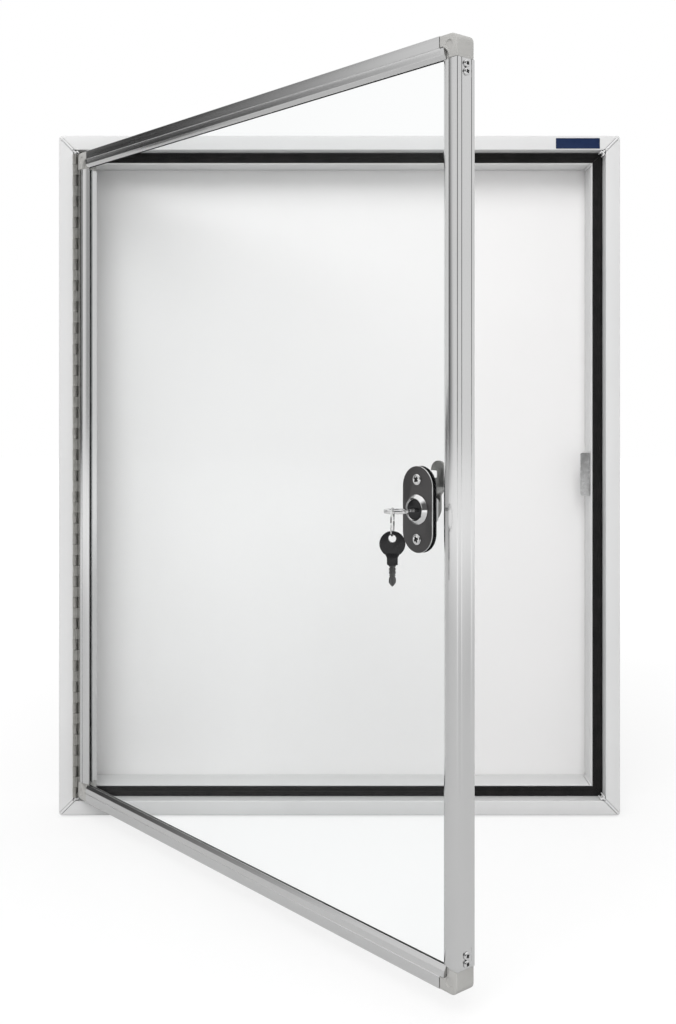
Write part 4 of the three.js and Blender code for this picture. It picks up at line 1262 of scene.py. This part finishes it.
def build_door_members(d):
    outer, inner = door_outline(d), door_hollow()
    corner = d.leg + 0.3 * MM
    members = (
        ("top", "door_rail_top", d.width, "door_level"),
        ("bottom", "door_rail_bottom", d.width, "door_level"),
        ("hinge", "door_stile_hinge", d.height, "door_upright"),
        ("lock", "door_stile_lock", d.height, "door_upright"),
    )
    lip_root = 8.2
    lip = ((lip_root, 0.74, 0.1), *DOOR_LIP, (lip_root, DOOR_LIP[-1][1], 0))
    lip = rounded([(*Vector((x, y)) * MM, r * MM) for x, y, r in lip], 0, 4)
    for side, node, length, finish in members:
        mesh = hollow_bar(outer, inner, lambda p, reach=length / 2 - corner: reach)
        if side in ("top", "bottom"):
            low, high = length / 2 - corner - 0.4 * MM, length / 2 - d.lip_stop
            ends = [loft([[(p.x, p.y, sign * z) for p in lip] for z in (low, high)]) for sign in (-1, 1)]
            mesh = combined(mesh, "UNION", *ends)
        show(f"finished_{node}", moved(mesh, door_side(d, side)), "door", finish, [node])


def corner_outline(d, inner):
    """A corner piece seen from the front, x inward along one edge and z down along the other."""
    i, r = d.corner_inset, d.corner_round
    bend = arc((i + r, i + r), r, 180, 270, 12)
    outline = [(i, d.leg)] + bend + [(d.leg, i)] + inner
    return [(x, -z) for x, z in outline]


def door_corner(d, rail_along_x):
    """A moulded corner with legs inside both members; rail_along_x tells which edge is the rail's."""

    def block(side_low, rail_low, side_high, rail_high, front, back, edge=0.0):
        points = rectangle(side_low, rail_low, side_high, rail_high)
        outline = [(x, -y) if rail_along_x else (y, -x) for x, y in points]
        return plate(outline, front, back, edge)

    band = d.band - 0.2 * MM
    box_in, root, lip_side, sill_end = 7.7 * MM, 5.0 * MM, 15.6 * MM, 15.4 * MM
    floor_front, floor_back = 3.4 * MM, 4.15 * MM
    stop = d.lip_stop - 0.25 * MM
    concave = arc((d.leg, d.leg), d.leg - band, 270, 180, 20)
    face = plate(corner_outline(d, concave), 0, 4.2 * MM, 0.5 * MM, 3)
    inner = [(d.leg, box_in), (box_in, box_in), (box_in, d.leg)]
    body = plate(corner_outline(d, inner), 0.5 * MM, d.depth - 0.5 * MM, 0.4 * MM, 3)
    near, blunt, far, reach = 2.0 * MM, 4.0 * MM, 6.1 * MM, 38.2 * MM
    legs = plate(
        [
            (blunt, -near),
            (reach, -near),
            (reach, -far),
            (far, -far),
            (far, -reach),
            (near, -reach),
            (near, -blunt),
        ],
        near,
        d.depth - near,
    )
    floor = block(root, root, stop, d.leg, floor_front, floor_back)
    sill = block(root, lip_side, sill_end, d.leg, floor_front, floor_back)
    whole = combined(face, "UNION", body, legs, floor, sill)
    room = block(stop, band, d.leg + 2 * MM, lip_side, -2 * MM, 4.5 * MM)
    r, deep = d.dimple, d.dimple_depth
    mouth = r + 0.15 * MM
    bowl = turned(
        [
            (POLE, -1 * MM),
            (mouth, -1 * MM),
            (mouth, 0),
            (r, 0.12 * MM),
            (r * 0.96, deep * 0.8),
            (r * 0.9, deep),
            (POLE, deep),
        ],
        48,
    )
    bowl = moved(bowl, Matrix.Translation((d.dimple_set, 0, -d.dimple_set)))
    return combined(whole, "DIFFERENCE", room, bowl)


def build_door_corners(d):
    shapes = {True: door_corner(d, True), False: door_corner(d, False)}
    corners = (("top_hinge", True), ("top_lock", False), ("bottom_lock", True), ("bottom_hinge", False))
    for corner, rail_along_x in corners:
        node = f"door_corner_{corner}"
        mesh = moved(shapes[rail_along_x].copy(), door_side(d, corner))
        show(f"finished_{node}", mesh, "door", "corner_plastic", [node], 30)


def build_corner_screws(d):
    screw = pan_screw(2.6 * MM, 1.5 * MM, 1.2 * MM, 5.5 * MM, 3.0 * MM)
    screw = moved(screw, rotation(90, "Z"))
    first, spacing = d.height / 2 - d.leg - 3.9 * MM, 5.3 * MM
    seat = d.near + d.width + 0.15 * MM
    middle = d.front + 8.1 * MM
    for end, sign in (("top", 1), ("bottom", -1)):
        start = Vector((seat, middle, sign * first))
        mesh = repeated(screw, 2, start, Vector((0, 0, -sign * spacing)), "chrome", 1.2, (1, 0, 0))
        mesh = moved(mesh, place_of_door())
        nodes = [f"corner_screw_{end}_outer", f"corner_screw_{end}_inner"]
        show(f"finished_corner_screws_{end}", mesh, "door", "chrome", nodes)


def build_glazing():
    pane = softened(cad_mesh("glazing_pane"), 0.15 * MM, 1)
    show("finished_glazing_pane", pane, "door", "acrylic", ["glazing_pane"])
    seal = softened(cad_mesh("glazing_seal"), 0.2 * MM, 2)
    show("finished_glazing_seal", seal, "door", "rubber", ["glazing_seal"])


# Lock


def oblong(length, width, steps=32):
    radius = width / 2
    straight = length / 2 - radius
    return arc((0, straight), radius, 0, 180, steps) + arc((0, -straight), radius, 180, 360, steps)


def build_lock_plates(k):
    place = place_of_lock()
    outline = oblong(k.plate_length, k.plate_width)
    lots = (
        ("lock_front_plate", k.plate_front, k.plate, "lacquer"),
        ("lock_back_plate", k.back_front, k.back, "black_gloss"),
    )
    straight, spread = (k.plate_length - k.plate_width) / 2, k.screw_spacing / 2
    housing_hole, screw_hole, through = k.housing + 0.3 * MM, 2.3 * MM, 20 * MM
    for node, front, thick, finish in lots:
        mesh = plate(outline, front, front + thick, 0.22 * MM, 3)
        holes = []
        for radius, z in ((housing_hole, 0), (screw_hole, spread), (screw_hole, -spread)):
            holes.append(moved(rod(radius, 0, through, 40), Matrix.Translation((0, 0, z))))
        mesh = combined(mesh, "DIFFERENCE", *holes)
        mesh.materials.append(FINISHES[finish]())
        if finish == "lacquer":
            mesh.materials.append(FINISHES["cut_edge"]())
            for face in mesh.polygons:
                out = math.hypot(face.center.x, max(0, abs(face.center.z) - straight))
                face.material_index = int(abs(face.normal.y) < 0.9 and out > 13 * MM)
        show(f"finished_{node}", moved(mesh, place), "door", finish, [node], 50)


def build_lock_screws(k):
    length = k.back_front + k.back + 2.5 * MM - k.plate_front
    screw = pan_screw(3.8 * MM, 1.2 * MM, 2.0 * MM, length, 4.6 * MM)
    start = Vector((0, k.plate_front - 0.05 * MM, -k.screw_spacing / 2))
    mesh = repeated(screw, 2, start, Vector((0, 0, k.screw_spacing)), "chrome", 1.5)
    nodes = ["lock_screw_upper", "lock_screw_lower"]
    show("finished_lock_screws", moved(mesh, place_of_lock()), "door", "chrome", nodes)


def build_lock_barrel(k):
    place = place_of_lock()
    front, plate_front, back = k.collar_front, k.plate_front - 0.05 * MM, k.housing_back
    bore = k.plug + 0.15 * MM
    housing = turned(
        [
            (bore, front + 0.4 * MM),
            (bore + 0.3 * MM, front),
            (k.collar - 2.6 * MM, front),
            (k.collar - 2.25 * MM, front + 0.12 * MM),
            (k.collar - 0.12 * MM, plate_front - 0.8 * MM),
            (k.collar, plate_front - 0.6 * MM),
            (k.collar, plate_front - 0.1 * MM),
            (k.collar - 0.1 * MM, plate_front),
            (k.housing, plate_front),
            (k.housing, back - 0.3 * MM),
            (k.housing - 0.3 * MM, back),
            (bore, back),
        ],
        72,
        True,
    )
    for finish in ("chrome", "black_gloss", "cam_steel"):
        housing.materials.append(FINISHES[finish]())
    for face in housing.polygons:
        y = face.center.y
        face.material_index = 1 if y < front + 0.01 * MM else 2 if y > plate_front + 0.1 * MM else 0
    housing = moved(housing, place)
    show("finished_lock_housing", housing, "door", "chrome", ["lock_housing"], 12)
    nut = softened(cad_mesh("lock_nut"), 0.3 * MM, 2)
    show("finished_lock_nut", nut, "door", "zinc", ["lock_nut"])
    plug_front = front + 0.4 * MM
    tail = back + 0.4 * MM
    plug = turned(
        [
            (POLE, plug_front),
            (k.plug - 0.5 * MM, plug_front),
            (k.plug - 0.15 * MM, plug_front + 0.12 * MM),
            (k.plug, plug_front + 0.5 * MM),
            (k.plug, tail),
            (POLE, tail),
        ],
        64,
    )
    side, slot_long, slot_high = 3.8 * MM, 3.4 * MM, 1.3 * MM
    tang = plate(rectangle(-side, -side, side, side), tail - 2 * MM, tail + 2.5 * MM, 0.2 * MM)
    slot = rectangle(-slot_long, -slot_high, slot_long, slot_high)
    keyway = plate(slot, plug_front - 2 * MM, plug_front + 15.1 * MM)
    hole = rod(1.9 * MM, tail - 2.7 * MM, tail + 4 * MM, 24)
    plug = combined(combined(plug, "UNION", tang), "DIFFERENCE", keyway, hole)
    show("finished_lock_plug", moved(plug, place), "plug", "black_gloss", ["lock_plug"])


def cam_strip(k, past):
    """The cam's crank as a wide strip: its line bent back twice, with a bend of 1.1 mm at each turn."""
    r, half, bend = k.cam_width / 2, k.cam / 2, 1.1 * MM
    foot, hook = k.cam_front + half, k.cam_front + k.cam_crank + half
    crank_start, crank_end = 9.7 * MM, 13.9 * MM
    middle = [
        Vector((-r - past, foot)),
        Vector((crank_start, foot)),
        Vector((crank_end, hook)),
        Vector((k.cam_reach + past, hook)),
    ]
    line = [middle[0]]
    for back, point, ahead in zip(middle, middle[1:], middle[2:]):
        start = point + (back - point).normalized() * bend
        end = point + (ahead - point).normalized() * bend
        line += [start.lerp(point, t).lerp(point.lerp(end, t), t) for t in (0, 0.25, 0.5, 0.75, 1)]
    line.append(middle[-1])
    front, back = [], []
    for i, point in enumerate(line):
        run = (line[min(len(line) - 1, i + 1)] - line[max(0, i - 1)]).normalized()
        across = Vector((-run.y, run.x)) * half
        front.append(point + across)
        back.append(point - across)
    section = front + back[::-1]
    return loft([[(x, p.y, p.x) for p in section] for x in (-r - past, r + past)])


def build_cam(k):
    r = k.cam_width / 2
    face = arc((0, k.cam_reach - r), r, 0, 180, 24) + arc((0, 0), r, 180, 360, 24)
    near = k.cam_front - 3 * MM
    cam = combined(cam_strip(k, 1 * MM), "INTERSECT", plate(face, near, k.cam_front + k.cam_crank + 5 * MM))
    low, high, inner, outer = 20.4 * MM, 25.4 * MM, 5.7 * MM - r, -r - 3 * MM
    notch = rounded([(outer, low, 0), (inner, low), (inner, high), (outer, high, 0)], 1.0 * MM, 4)
    notch = plate(notch, near, k.cam_front + 12 * MM)
    side = 4.1 * MM
    square = plate(rectangle(-side, -side, side, side), near, k.cam_front + 3 * MM)
    cam = softened(combined(cam, "DIFFERENCE", notch, square), 0.2 * MM, 2, 40)
    cam = moved(cam, place_of_lock())
    show("finished_lock_cam", cam, "plug", "cam_steel", ["lock_cam"], 35)
    seat = k.housing_back + 3.2 * MM
    screw = pan_screw(4.4 * MM, 1.8 * MM, 1.6 * MM, 4.8 * MM, 4.2 * MM, "zinc")
    screw = moved(screw, place_of_lock() @ Matrix.Translation((0, seat, 0)) @ rotation(180, "Z"))
    show("finished_cam_screw", screw, "plug", "zinc", ["cam_screw"])


def spare_blade_outline(start):
    """A key's blade drawn downward from its shoulder, with three cuts down both sides and a broad tip."""
    left = [(-2.25, 5), (-2.25, 0)]
    for i in range(3):
        low = -2.3 * i
        left += [(-2.25, low - 0.5), (-1.45 - 0.2 * (i % 2), low - 1.15), (-2.25, low - 1.8)]
    left += [(-1.4, -6.9), (-2.05, -7.9), (-2.3, -8.8), (-2.3, -11.0), (-1.2, -12.7), (-0.2, -13.7)]
    outline = [(x * MM, start + z * MM) for x, z in left]
    return outline + [(-x, z) for x, z in reversed(outline)]


def build_key(k):
    """The key in the lock: a round eye with rounded rims, a shoulder and a blade."""
    place = place_of_lock()
    middle = 2 * MM - k.bow_front
    thick, r = k.key / 2, 0.45 * MM
    top = arc((k.bow - r, thick - r), r, 0, 90, 3) + arc((k.bow_hole + r, thick - r), r, 90, 180, 3)
    bow = turned(top + [(x, -y) for x, y in reversed(top)], 72, True)
    bow = moved(bow, Matrix.Translation((0, middle, 0)) @ rotation(90, "X"))
    shoulder_end = k.collar_front
    neck, wide, narrow = 3.55 * MM, 3.1 * MM, 1.2 * MM
    turn = rotation(-90, "X")
    shoulder = plate(rectangle(-neck, middle + 6.9 * MM, neck, shoulder_end), -thick, thick, 0.3 * MM)
    low, high, tip = shoulder_end - 2 * MM, shoulder_end + 12.9 * MM, shoulder_end + 14.7 * MM
    outline = [(-wide, low), (wide, low), (wide, high), (narrow, tip), (-narrow, tip), (-wide, high)]
    blade = plate(outline, -1 * MM, 1 * MM, 0.15 * MM)
    key = combined(bow, "UNION", moved(shoulder, turn), moved(blade, turn))
    show("finished_key_in_lock", moved(key, place), "key", "key_nickel", ["key_in_lock"], 40)


def build_ring(k):
    """A split ring: flat wire wound twice round."""
    place = place_of_ring()
    drop = place.inverted() @ Vector(JOINTS["spare_key_swing"]["pos_m"])
    middle = drop.z + k.ring
    wide, thin = k.wire, k.wire * 0.46
    section = rounded(rectangle(-wide, -thin, wide, thin), 0.18 * MM, 3)
    turns, steps, first = 2.0, 144, math.radians(200)
    path = []
    for i in range(steps + 1):
        angle = 2 * math.pi * turns * i / steps + first
        aside = k.wire * 0.5 * math.tanh((i / steps - 0.5) * 14)
        out = Vector((0, math.cos(angle), math.sin(angle)))
        path.append((Vector((aside, 0, middle)) + out * k.ring, out, Vector((1, 0, 0))))
    mesh = moved(swept(section, path), place)
    show("finished_key_ring", mesh, "ring", "chrome", ["key_ring"], 45)


def build_spare_key(k):
    place = place_of_ring()
    drop = (place.inverted() @ Vector(JOINTS["spare_key_swing"]["pos_m"])).z
    hole_r, head_r, half = 2.6 * MM, 8.5 * MM, 1.35 * MM
    hole_z = drop + k.wire + 0.3 * MM - hole_r
    head_z = hole_z + hole_r + 2.3 * MM - head_r
    end, flare, top = head_z - 14.2 * MM, head_z - 9.05 * MM, head_z - 6.1 * MM
    spread = math.degrees(math.asin(4.6 * MM / head_r))
    outline = arc((0, head_z), head_r, -90 + spread, 270 - spread, 56)
    neck, foot, foot_z = 3.6 * MM, 3.5 * MM, end + 0.5 * MM
    outline += [(-neck, flare), (-foot, foot_z), (foot, foot_z), (neck, flare)]
    head = plate(outline, -half, half, 0.5 * MM, 4)
    wide, narrow, bevel_end = 3.4 * MM, 2.3 * MM, end + 1.1 * MM
    block = [(-wide, bevel_end), (-narrow, end), (narrow, end), (wide, bevel_end), (wide, top), (-wide, top)]
    stand = half + 0.22 * MM
    head = combined(head, "UNION", plate(block, -stand, stand, 0.15 * MM, 2))
    hole = moved(rod(hole_r, -4 * MM, 4 * MM, 40), Matrix.Translation((0, 0, hole_z)))
    side, deep = 2.5 * MM, 1.05 * MM
    slot = plate(rectangle(-side, end - 1 * MM, side, end + 5.3 * MM), -deep, deep)
    head = moved(combined(head, "DIFFERENCE", hole, slot), place)
    show("finished_spare_key_head", head, "spare_key", "black_gloss", ["spare_key_head"], 35)
    mesh = plate(spare_blade_outline(end), -0.9 * MM, 0.9 * MM, 0.12 * MM, 2)
    low, high, wide = end - 9.5 * MM, end + 6 * MM, 0.38 * MM
    for x in (-0.9 * MM, 0.75 * MM):
        groove = plate(rectangle(x - wide, low, x + wide, high), -2 * MM, -0.5 * MM)
        mesh = combined(mesh, "DIFFERENCE", groove)
    mesh = moved(mesh, place)
    show("finished_spare_key_blade", mesh, "spare_key", "key_steel", ["spare_key_blade"])


def build_label(s):
    """A blank plate at the top right of the frame."""
    half_long, half_high, thick = 21.35 * MM, 5.1 * MM, 0.28 * MM
    outline = rounded(rectangle(-half_long, -half_high, half_long, half_high), 0.5 * MM)
    mesh = plate(outline, -thick, 0, 0.08 * MM, 2)
    x, z = s.width / 2 - 41.1 * MM, s.height / 2 - 7.6 * MM
    place = Matrix.Translation((x, -s.depth - 0.02 * MM, z))
    show("blank_label_plate", moved(mesh, place), "cabinet", "label_blue", [])


# Studio


FLAG_X, FLAG_THICK, FLAG_HALF = -0.752, 0.002, 0.035
FLAG_ENDS = ((-0.02, -0.002), (0.11, 0.066))  # y and z of the middle of its front and of its back edge
LAMP_AIM = (0, -0.1, 0)
LAMPS = (  # name, place, width, height and watts
    ("key", (-0.5, -3.0, 2.3), 2.6, 2.0, 76),
    ("fill", (0, -3.2, 0.3), 2.2, 1.8, 22),
)
ROOM = 0.78  # brightness of the room
OVERHEAD = 0.35  # what metal mirrors beyond that from overhead
GAP_SPAN = 0.6  # angle that the ramp of the dark gap covers, in radians
GAP_STOPS = (  # angle from the left towards the wall, and brightness
    (0.09, ROOM),
    (0.12, 0.62),
    (0.18, 0.34),
    (0.27, 0.11),
    (0.33, 0.0),
    (0.39, 0.0),
    (0.43, 0.22),
    (0.467, ROOM),
)
SHADE_FULL = (-0.90, -0.82)  # y of the direction from which the camera's side is darkest: as light, in metal
SHADE_NONE = (-0.72, -0.50)  # y of the direction from which it isn't dark any more
SHADE_LEVEL = (0.07, 0.15)  # its share of the room's brightness there


def flag():
    """A narrow dark flag on the left that only metal mirrors, on the lip of the open door's top rail."""
    (near_y, near_z), (far_y, far_z) = FLAG_ENDS
    outline = [
        (near_y, near_z - FLAG_HALF),
        (far_y, far_z - FLAG_HALF),
        (far_y, far_z + FLAG_HALF),
        (near_y, near_z + FLAG_HALF),
    ]
    mesh = loft([[(x, y, z) for y, z in outline] for x in (FLAG_X, FLAG_X + FLAG_THICK)])
    mesh.materials.append(FINISHES["rubber"]())
    card = bpy.data.objects.new("flag", mesh)
    bpy.context.scene.collection.objects.link(card)
    card.visible_camera = False
    card.visible_diffuse = False
    card.visible_shadow = False


def lamp(name, place, width, height, power):
    """A soft lamp that metal doesn't mirror."""
    light = bpy.data.lights.new(name, "AREA")
    light.shape = "RECTANGLE"
    light.size, light.size_y = width, height
    light.energy = power
    holder = bpy.data.objects.new(name, light)
    holder.location = place
    holder.rotation_euler = (Vector(LAMP_AIM) - Vector(place)).to_track_quat("-Z", "Y").to_euler()
    holder.visible_glossy = False
    bpy.context.scene.collection.objects.link(holder)


def build_world():
    """A white room, dark on the camera's side and in a gap behind the board's left."""
    world = bpy.data.worlds.new("studio air")
    bpy.context.scene.world = world
    world.use_nodes = True
    tree = world.node_tree
    tree.nodes.clear()

    def add(kind, operation=None, *values):
        node = tree.nodes.new(kind)
        if operation:
            node.operation = operation
        for i, value in enumerate(values):
            if isinstance(value, bpy.types.NodeSocket):
                tree.links.new(value, node.inputs[i])
            else:
                node.inputs[i].default_value = value
        return node

    def between(value, start, end, low, high):
        return add("ShaderNodeMapRange", None, value, start, end, low, high).outputs[0]

    path = tree.nodes.new("ShaderNodeLightPath")
    in_metal = path.outputs["Is Glossy Ray"]
    way = add("ShaderNodeSeparateXYZ", None, add("ShaderNodeTexCoord").outputs["Generated"])
    left = add("ShaderNodeMath", "MULTIPLY", way.outputs["X"], -1.0)
    behind = add("ShaderNodeMath", "ARCTAN2", way.outputs["Y"], left.outputs[0])
    lower = between(way.outputs["Z"], -0.2, 0.65, 0.106, -0.106)
    angle = add("ShaderNodeMath", "ADD", behind.outputs[0], lower)
    gap = add("ShaderNodeValToRGB", None, between(angle.outputs[0], 0.0, GAP_SPAN, 0.0, 1.0))
    for i, (where, level) in enumerate(GAP_STOPS):
        ramp = gap.color_ramp.elements
        stop = ramp[i] if i < 2 else ramp.new(where / GAP_SPAN)
        stop.position = where / GAP_SPAN
        stop.color = (level, level, level, 1)
    full, none, dim = (between(in_metal, 0.0, 1.0, *pair) for pair in (SHADE_FULL, SHADE_NONE, SHADE_LEVEL))
    front = between(way.outputs["Y"], full, none, dim, 1.0)
    high = between(way.outputs["Z"], 0.42, 0.60, 0.0, ROOM)
    overhead = between(way.outputs["Z"], 0.63, 0.74, 0.0, OVERHEAD)
    mirrored = add("ShaderNodeMath", "MULTIPLY_ADD", overhead, in_metal, high)
    behind_left = add("ShaderNodeMath", "MAXIMUM", gap.outputs[0], mirrored.outputs[0])
    level = add("ShaderNodeMath", "MULTIPLY", behind_left.outputs[0], front)
    room = tree.nodes.new("ShaderNodeBackground")
    tree.links.new(level.outputs[0], room.inputs["Color"])
    seen = tree.nodes.new("ShaderNodeBackground")
    seen.inputs["Color"].default_value = (1, 1, 1, 1)
    straight = (path.outputs["Is Camera Ray"], path.outputs["Is Transmission Ray"])
    either = add("ShaderNodeMath", "MAXIMUM", *straight)
    mix = tree.nodes.new("ShaderNodeMixShader")
    tree.links.new(either.outputs[0], mix.inputs[0])
    tree.links.new(room.outputs[0], mix.inputs[1])
    tree.links.new(seen.outputs[0], mix.inputs[2])
    output = tree.nodes.new("ShaderNodeOutputWorld")
    tree.links.new(mix.outputs[0], output.inputs["Surface"])


def build_studio(st, s):
    build_world()
    ground = -s.height / 2 - st.floor_drop
    bpy.ops.mesh.primitive_plane_add(size=FLOOR_SIDE, location=(0, 0, ground))
    floor = bpy.context.object
    floor.name = "floor"
    floor.data.materials.append(FINISHES["floor_white"]())
    for lamp_values in LAMPS:
        lamp(*lamp_values)
    flag()
    camera = bpy.data.cameras.new("camera")
    camera.lens = st.lens
    camera.sensor_width = 36
    camera.shift_y = st.shift
    camera.clip_start = 0.01
    holder = bpy.data.objects.new("camera", camera)
    holder.location = (st.camera_x, st.camera_y, st.camera_z)
    holder.rotation_euler = (math.radians(90), 0, 0)
    bpy.context.scene.collection.objects.link(holder)
    bpy.context.scene.camera = holder
    bpy.context.scene.view_settings.view_transform = "Standard"


# Operators


def maker(build, label, text, *groups):
    """An operator class that builds one group of pieces from its property groups."""
    idname = build.__name__.removeprefix("build_")

    def execute(self, context):
        before = len(bpy.data.objects)
        build(*(getattr(context.scene, f"board_{group}") for group in groups))
        if len(bpy.data.objects) <= before:
            raise RuntimeError(f"{idname} made nothing")
        return {"FINISHED"}

    body = {"__doc__": text, "bl_idname": f"notice_board.{idname}", "bl_label": label, "execute": execute}
    return type(f"NOTICEBOARD_OT_{idname}", (bpy.types.Operator,), body)


OPERATORS = [
    maker(build_frame_members, "Frame members", "Builds the four mitred frame members", "cabinet"),
    maker(build_frame_corners, "Frame corners", "Builds the connectors in the mitres", "cabinet"),
    maker(build_gaskets, "Gaskets", "Builds the strips that the door closes on", "cabinet"),
    maker(build_back_panels, "Back panels", "Builds the white sheet and the board behind it"),
    maker(build_strike, "Strike plate", "Builds the strike plate and its screws"),
    maker(build_hinge, "Hinge", "Builds the continuous hinge", "hinge"),
    maker(build_door_members, "Door members", "Builds the door's four frame members", "door"),
    maker(build_door_corners, "Door corners", "Builds the moulded corners of the door", "door"),
    maker(build_corner_screws, "Corner screws", "Builds the screws in the lock side of the door", "door"),
    maker(build_glazing, "Glazing", "Builds the pane and its seal"),
    maker(build_lock_plates, "Lock plates", "Builds the plates on both sides of the pane", "lock"),
    maker(build_lock_screws, "Lock screws", "Builds the screws through the lock plates", "lock"),
    maker(build_lock_barrel, "Lock barrel", "Builds the housing, its nut and the plug", "lock"),
    maker(build_cam, "Cam", "Builds the hook cam and its screw", "lock"),
    maker(build_key, "Key", "Builds the key in the lock", "lock"),
    maker(build_ring, "Key ring", "Builds the split ring", "lock"),
    maker(build_spare_key, "Spare key", "Builds the key that hangs from the ring", "lock"),
    maker(build_label, "Label plate", "Builds the blank plate on the frame", "cabinet"),
    maker(build_studio, "Studio", "Builds the floor, the light and the camera", "studio", "cabinet"),
]


class NOTICEBOARD_PT_pieces(bpy.types.Panel):
    bl_idname = "NOTICEBOARD_PT_pieces"
    bl_label = "Notice board"
    bl_space_type = "VIEW_3D"
    bl_region_type = "UI"
    bl_category = "Notice board"

    def draw(self, context):
        for operator in OPERATORS:
            self.layout.operator(operator.bl_idname)


GROUPS = {
    "board_cabinet": CabinetSizes,
    "board_hinge": HingeSizes,
    "board_door": DoorSizes,
    "board_lock": LockSizes,
    "board_studio": StudioSizes,
    "board_colours": FinishColours,
}


def register():
    for name, group in GROUPS.items():
        bpy.utils.register_class(group)
        setattr(bpy.types.Scene, name, bpy.props.PointerProperty(type=group))
    for operator in OPERATORS:
        bpy.utils.register_class(operator)
    bpy.utils.register_class(NOTICEBOARD_PT_pieces)


def unregister():
    bpy.utils.unregister_class(NOTICEBOARD_PT_pieces)
    for operator in reversed(OPERATORS):
        bpy.utils.unregister_class(operator)
    for name, group in GROUPS.items():
        delattr(bpy.types.Scene, name)
        bpy.utils.unregister_class(group)


def main():
    register()
    for operator in OPERATORS:
        group, name = operator.bl_idname.split(".")
        getattr(getattr(bpy.ops, group), name)()


if __name__ == "__main__":
    main()
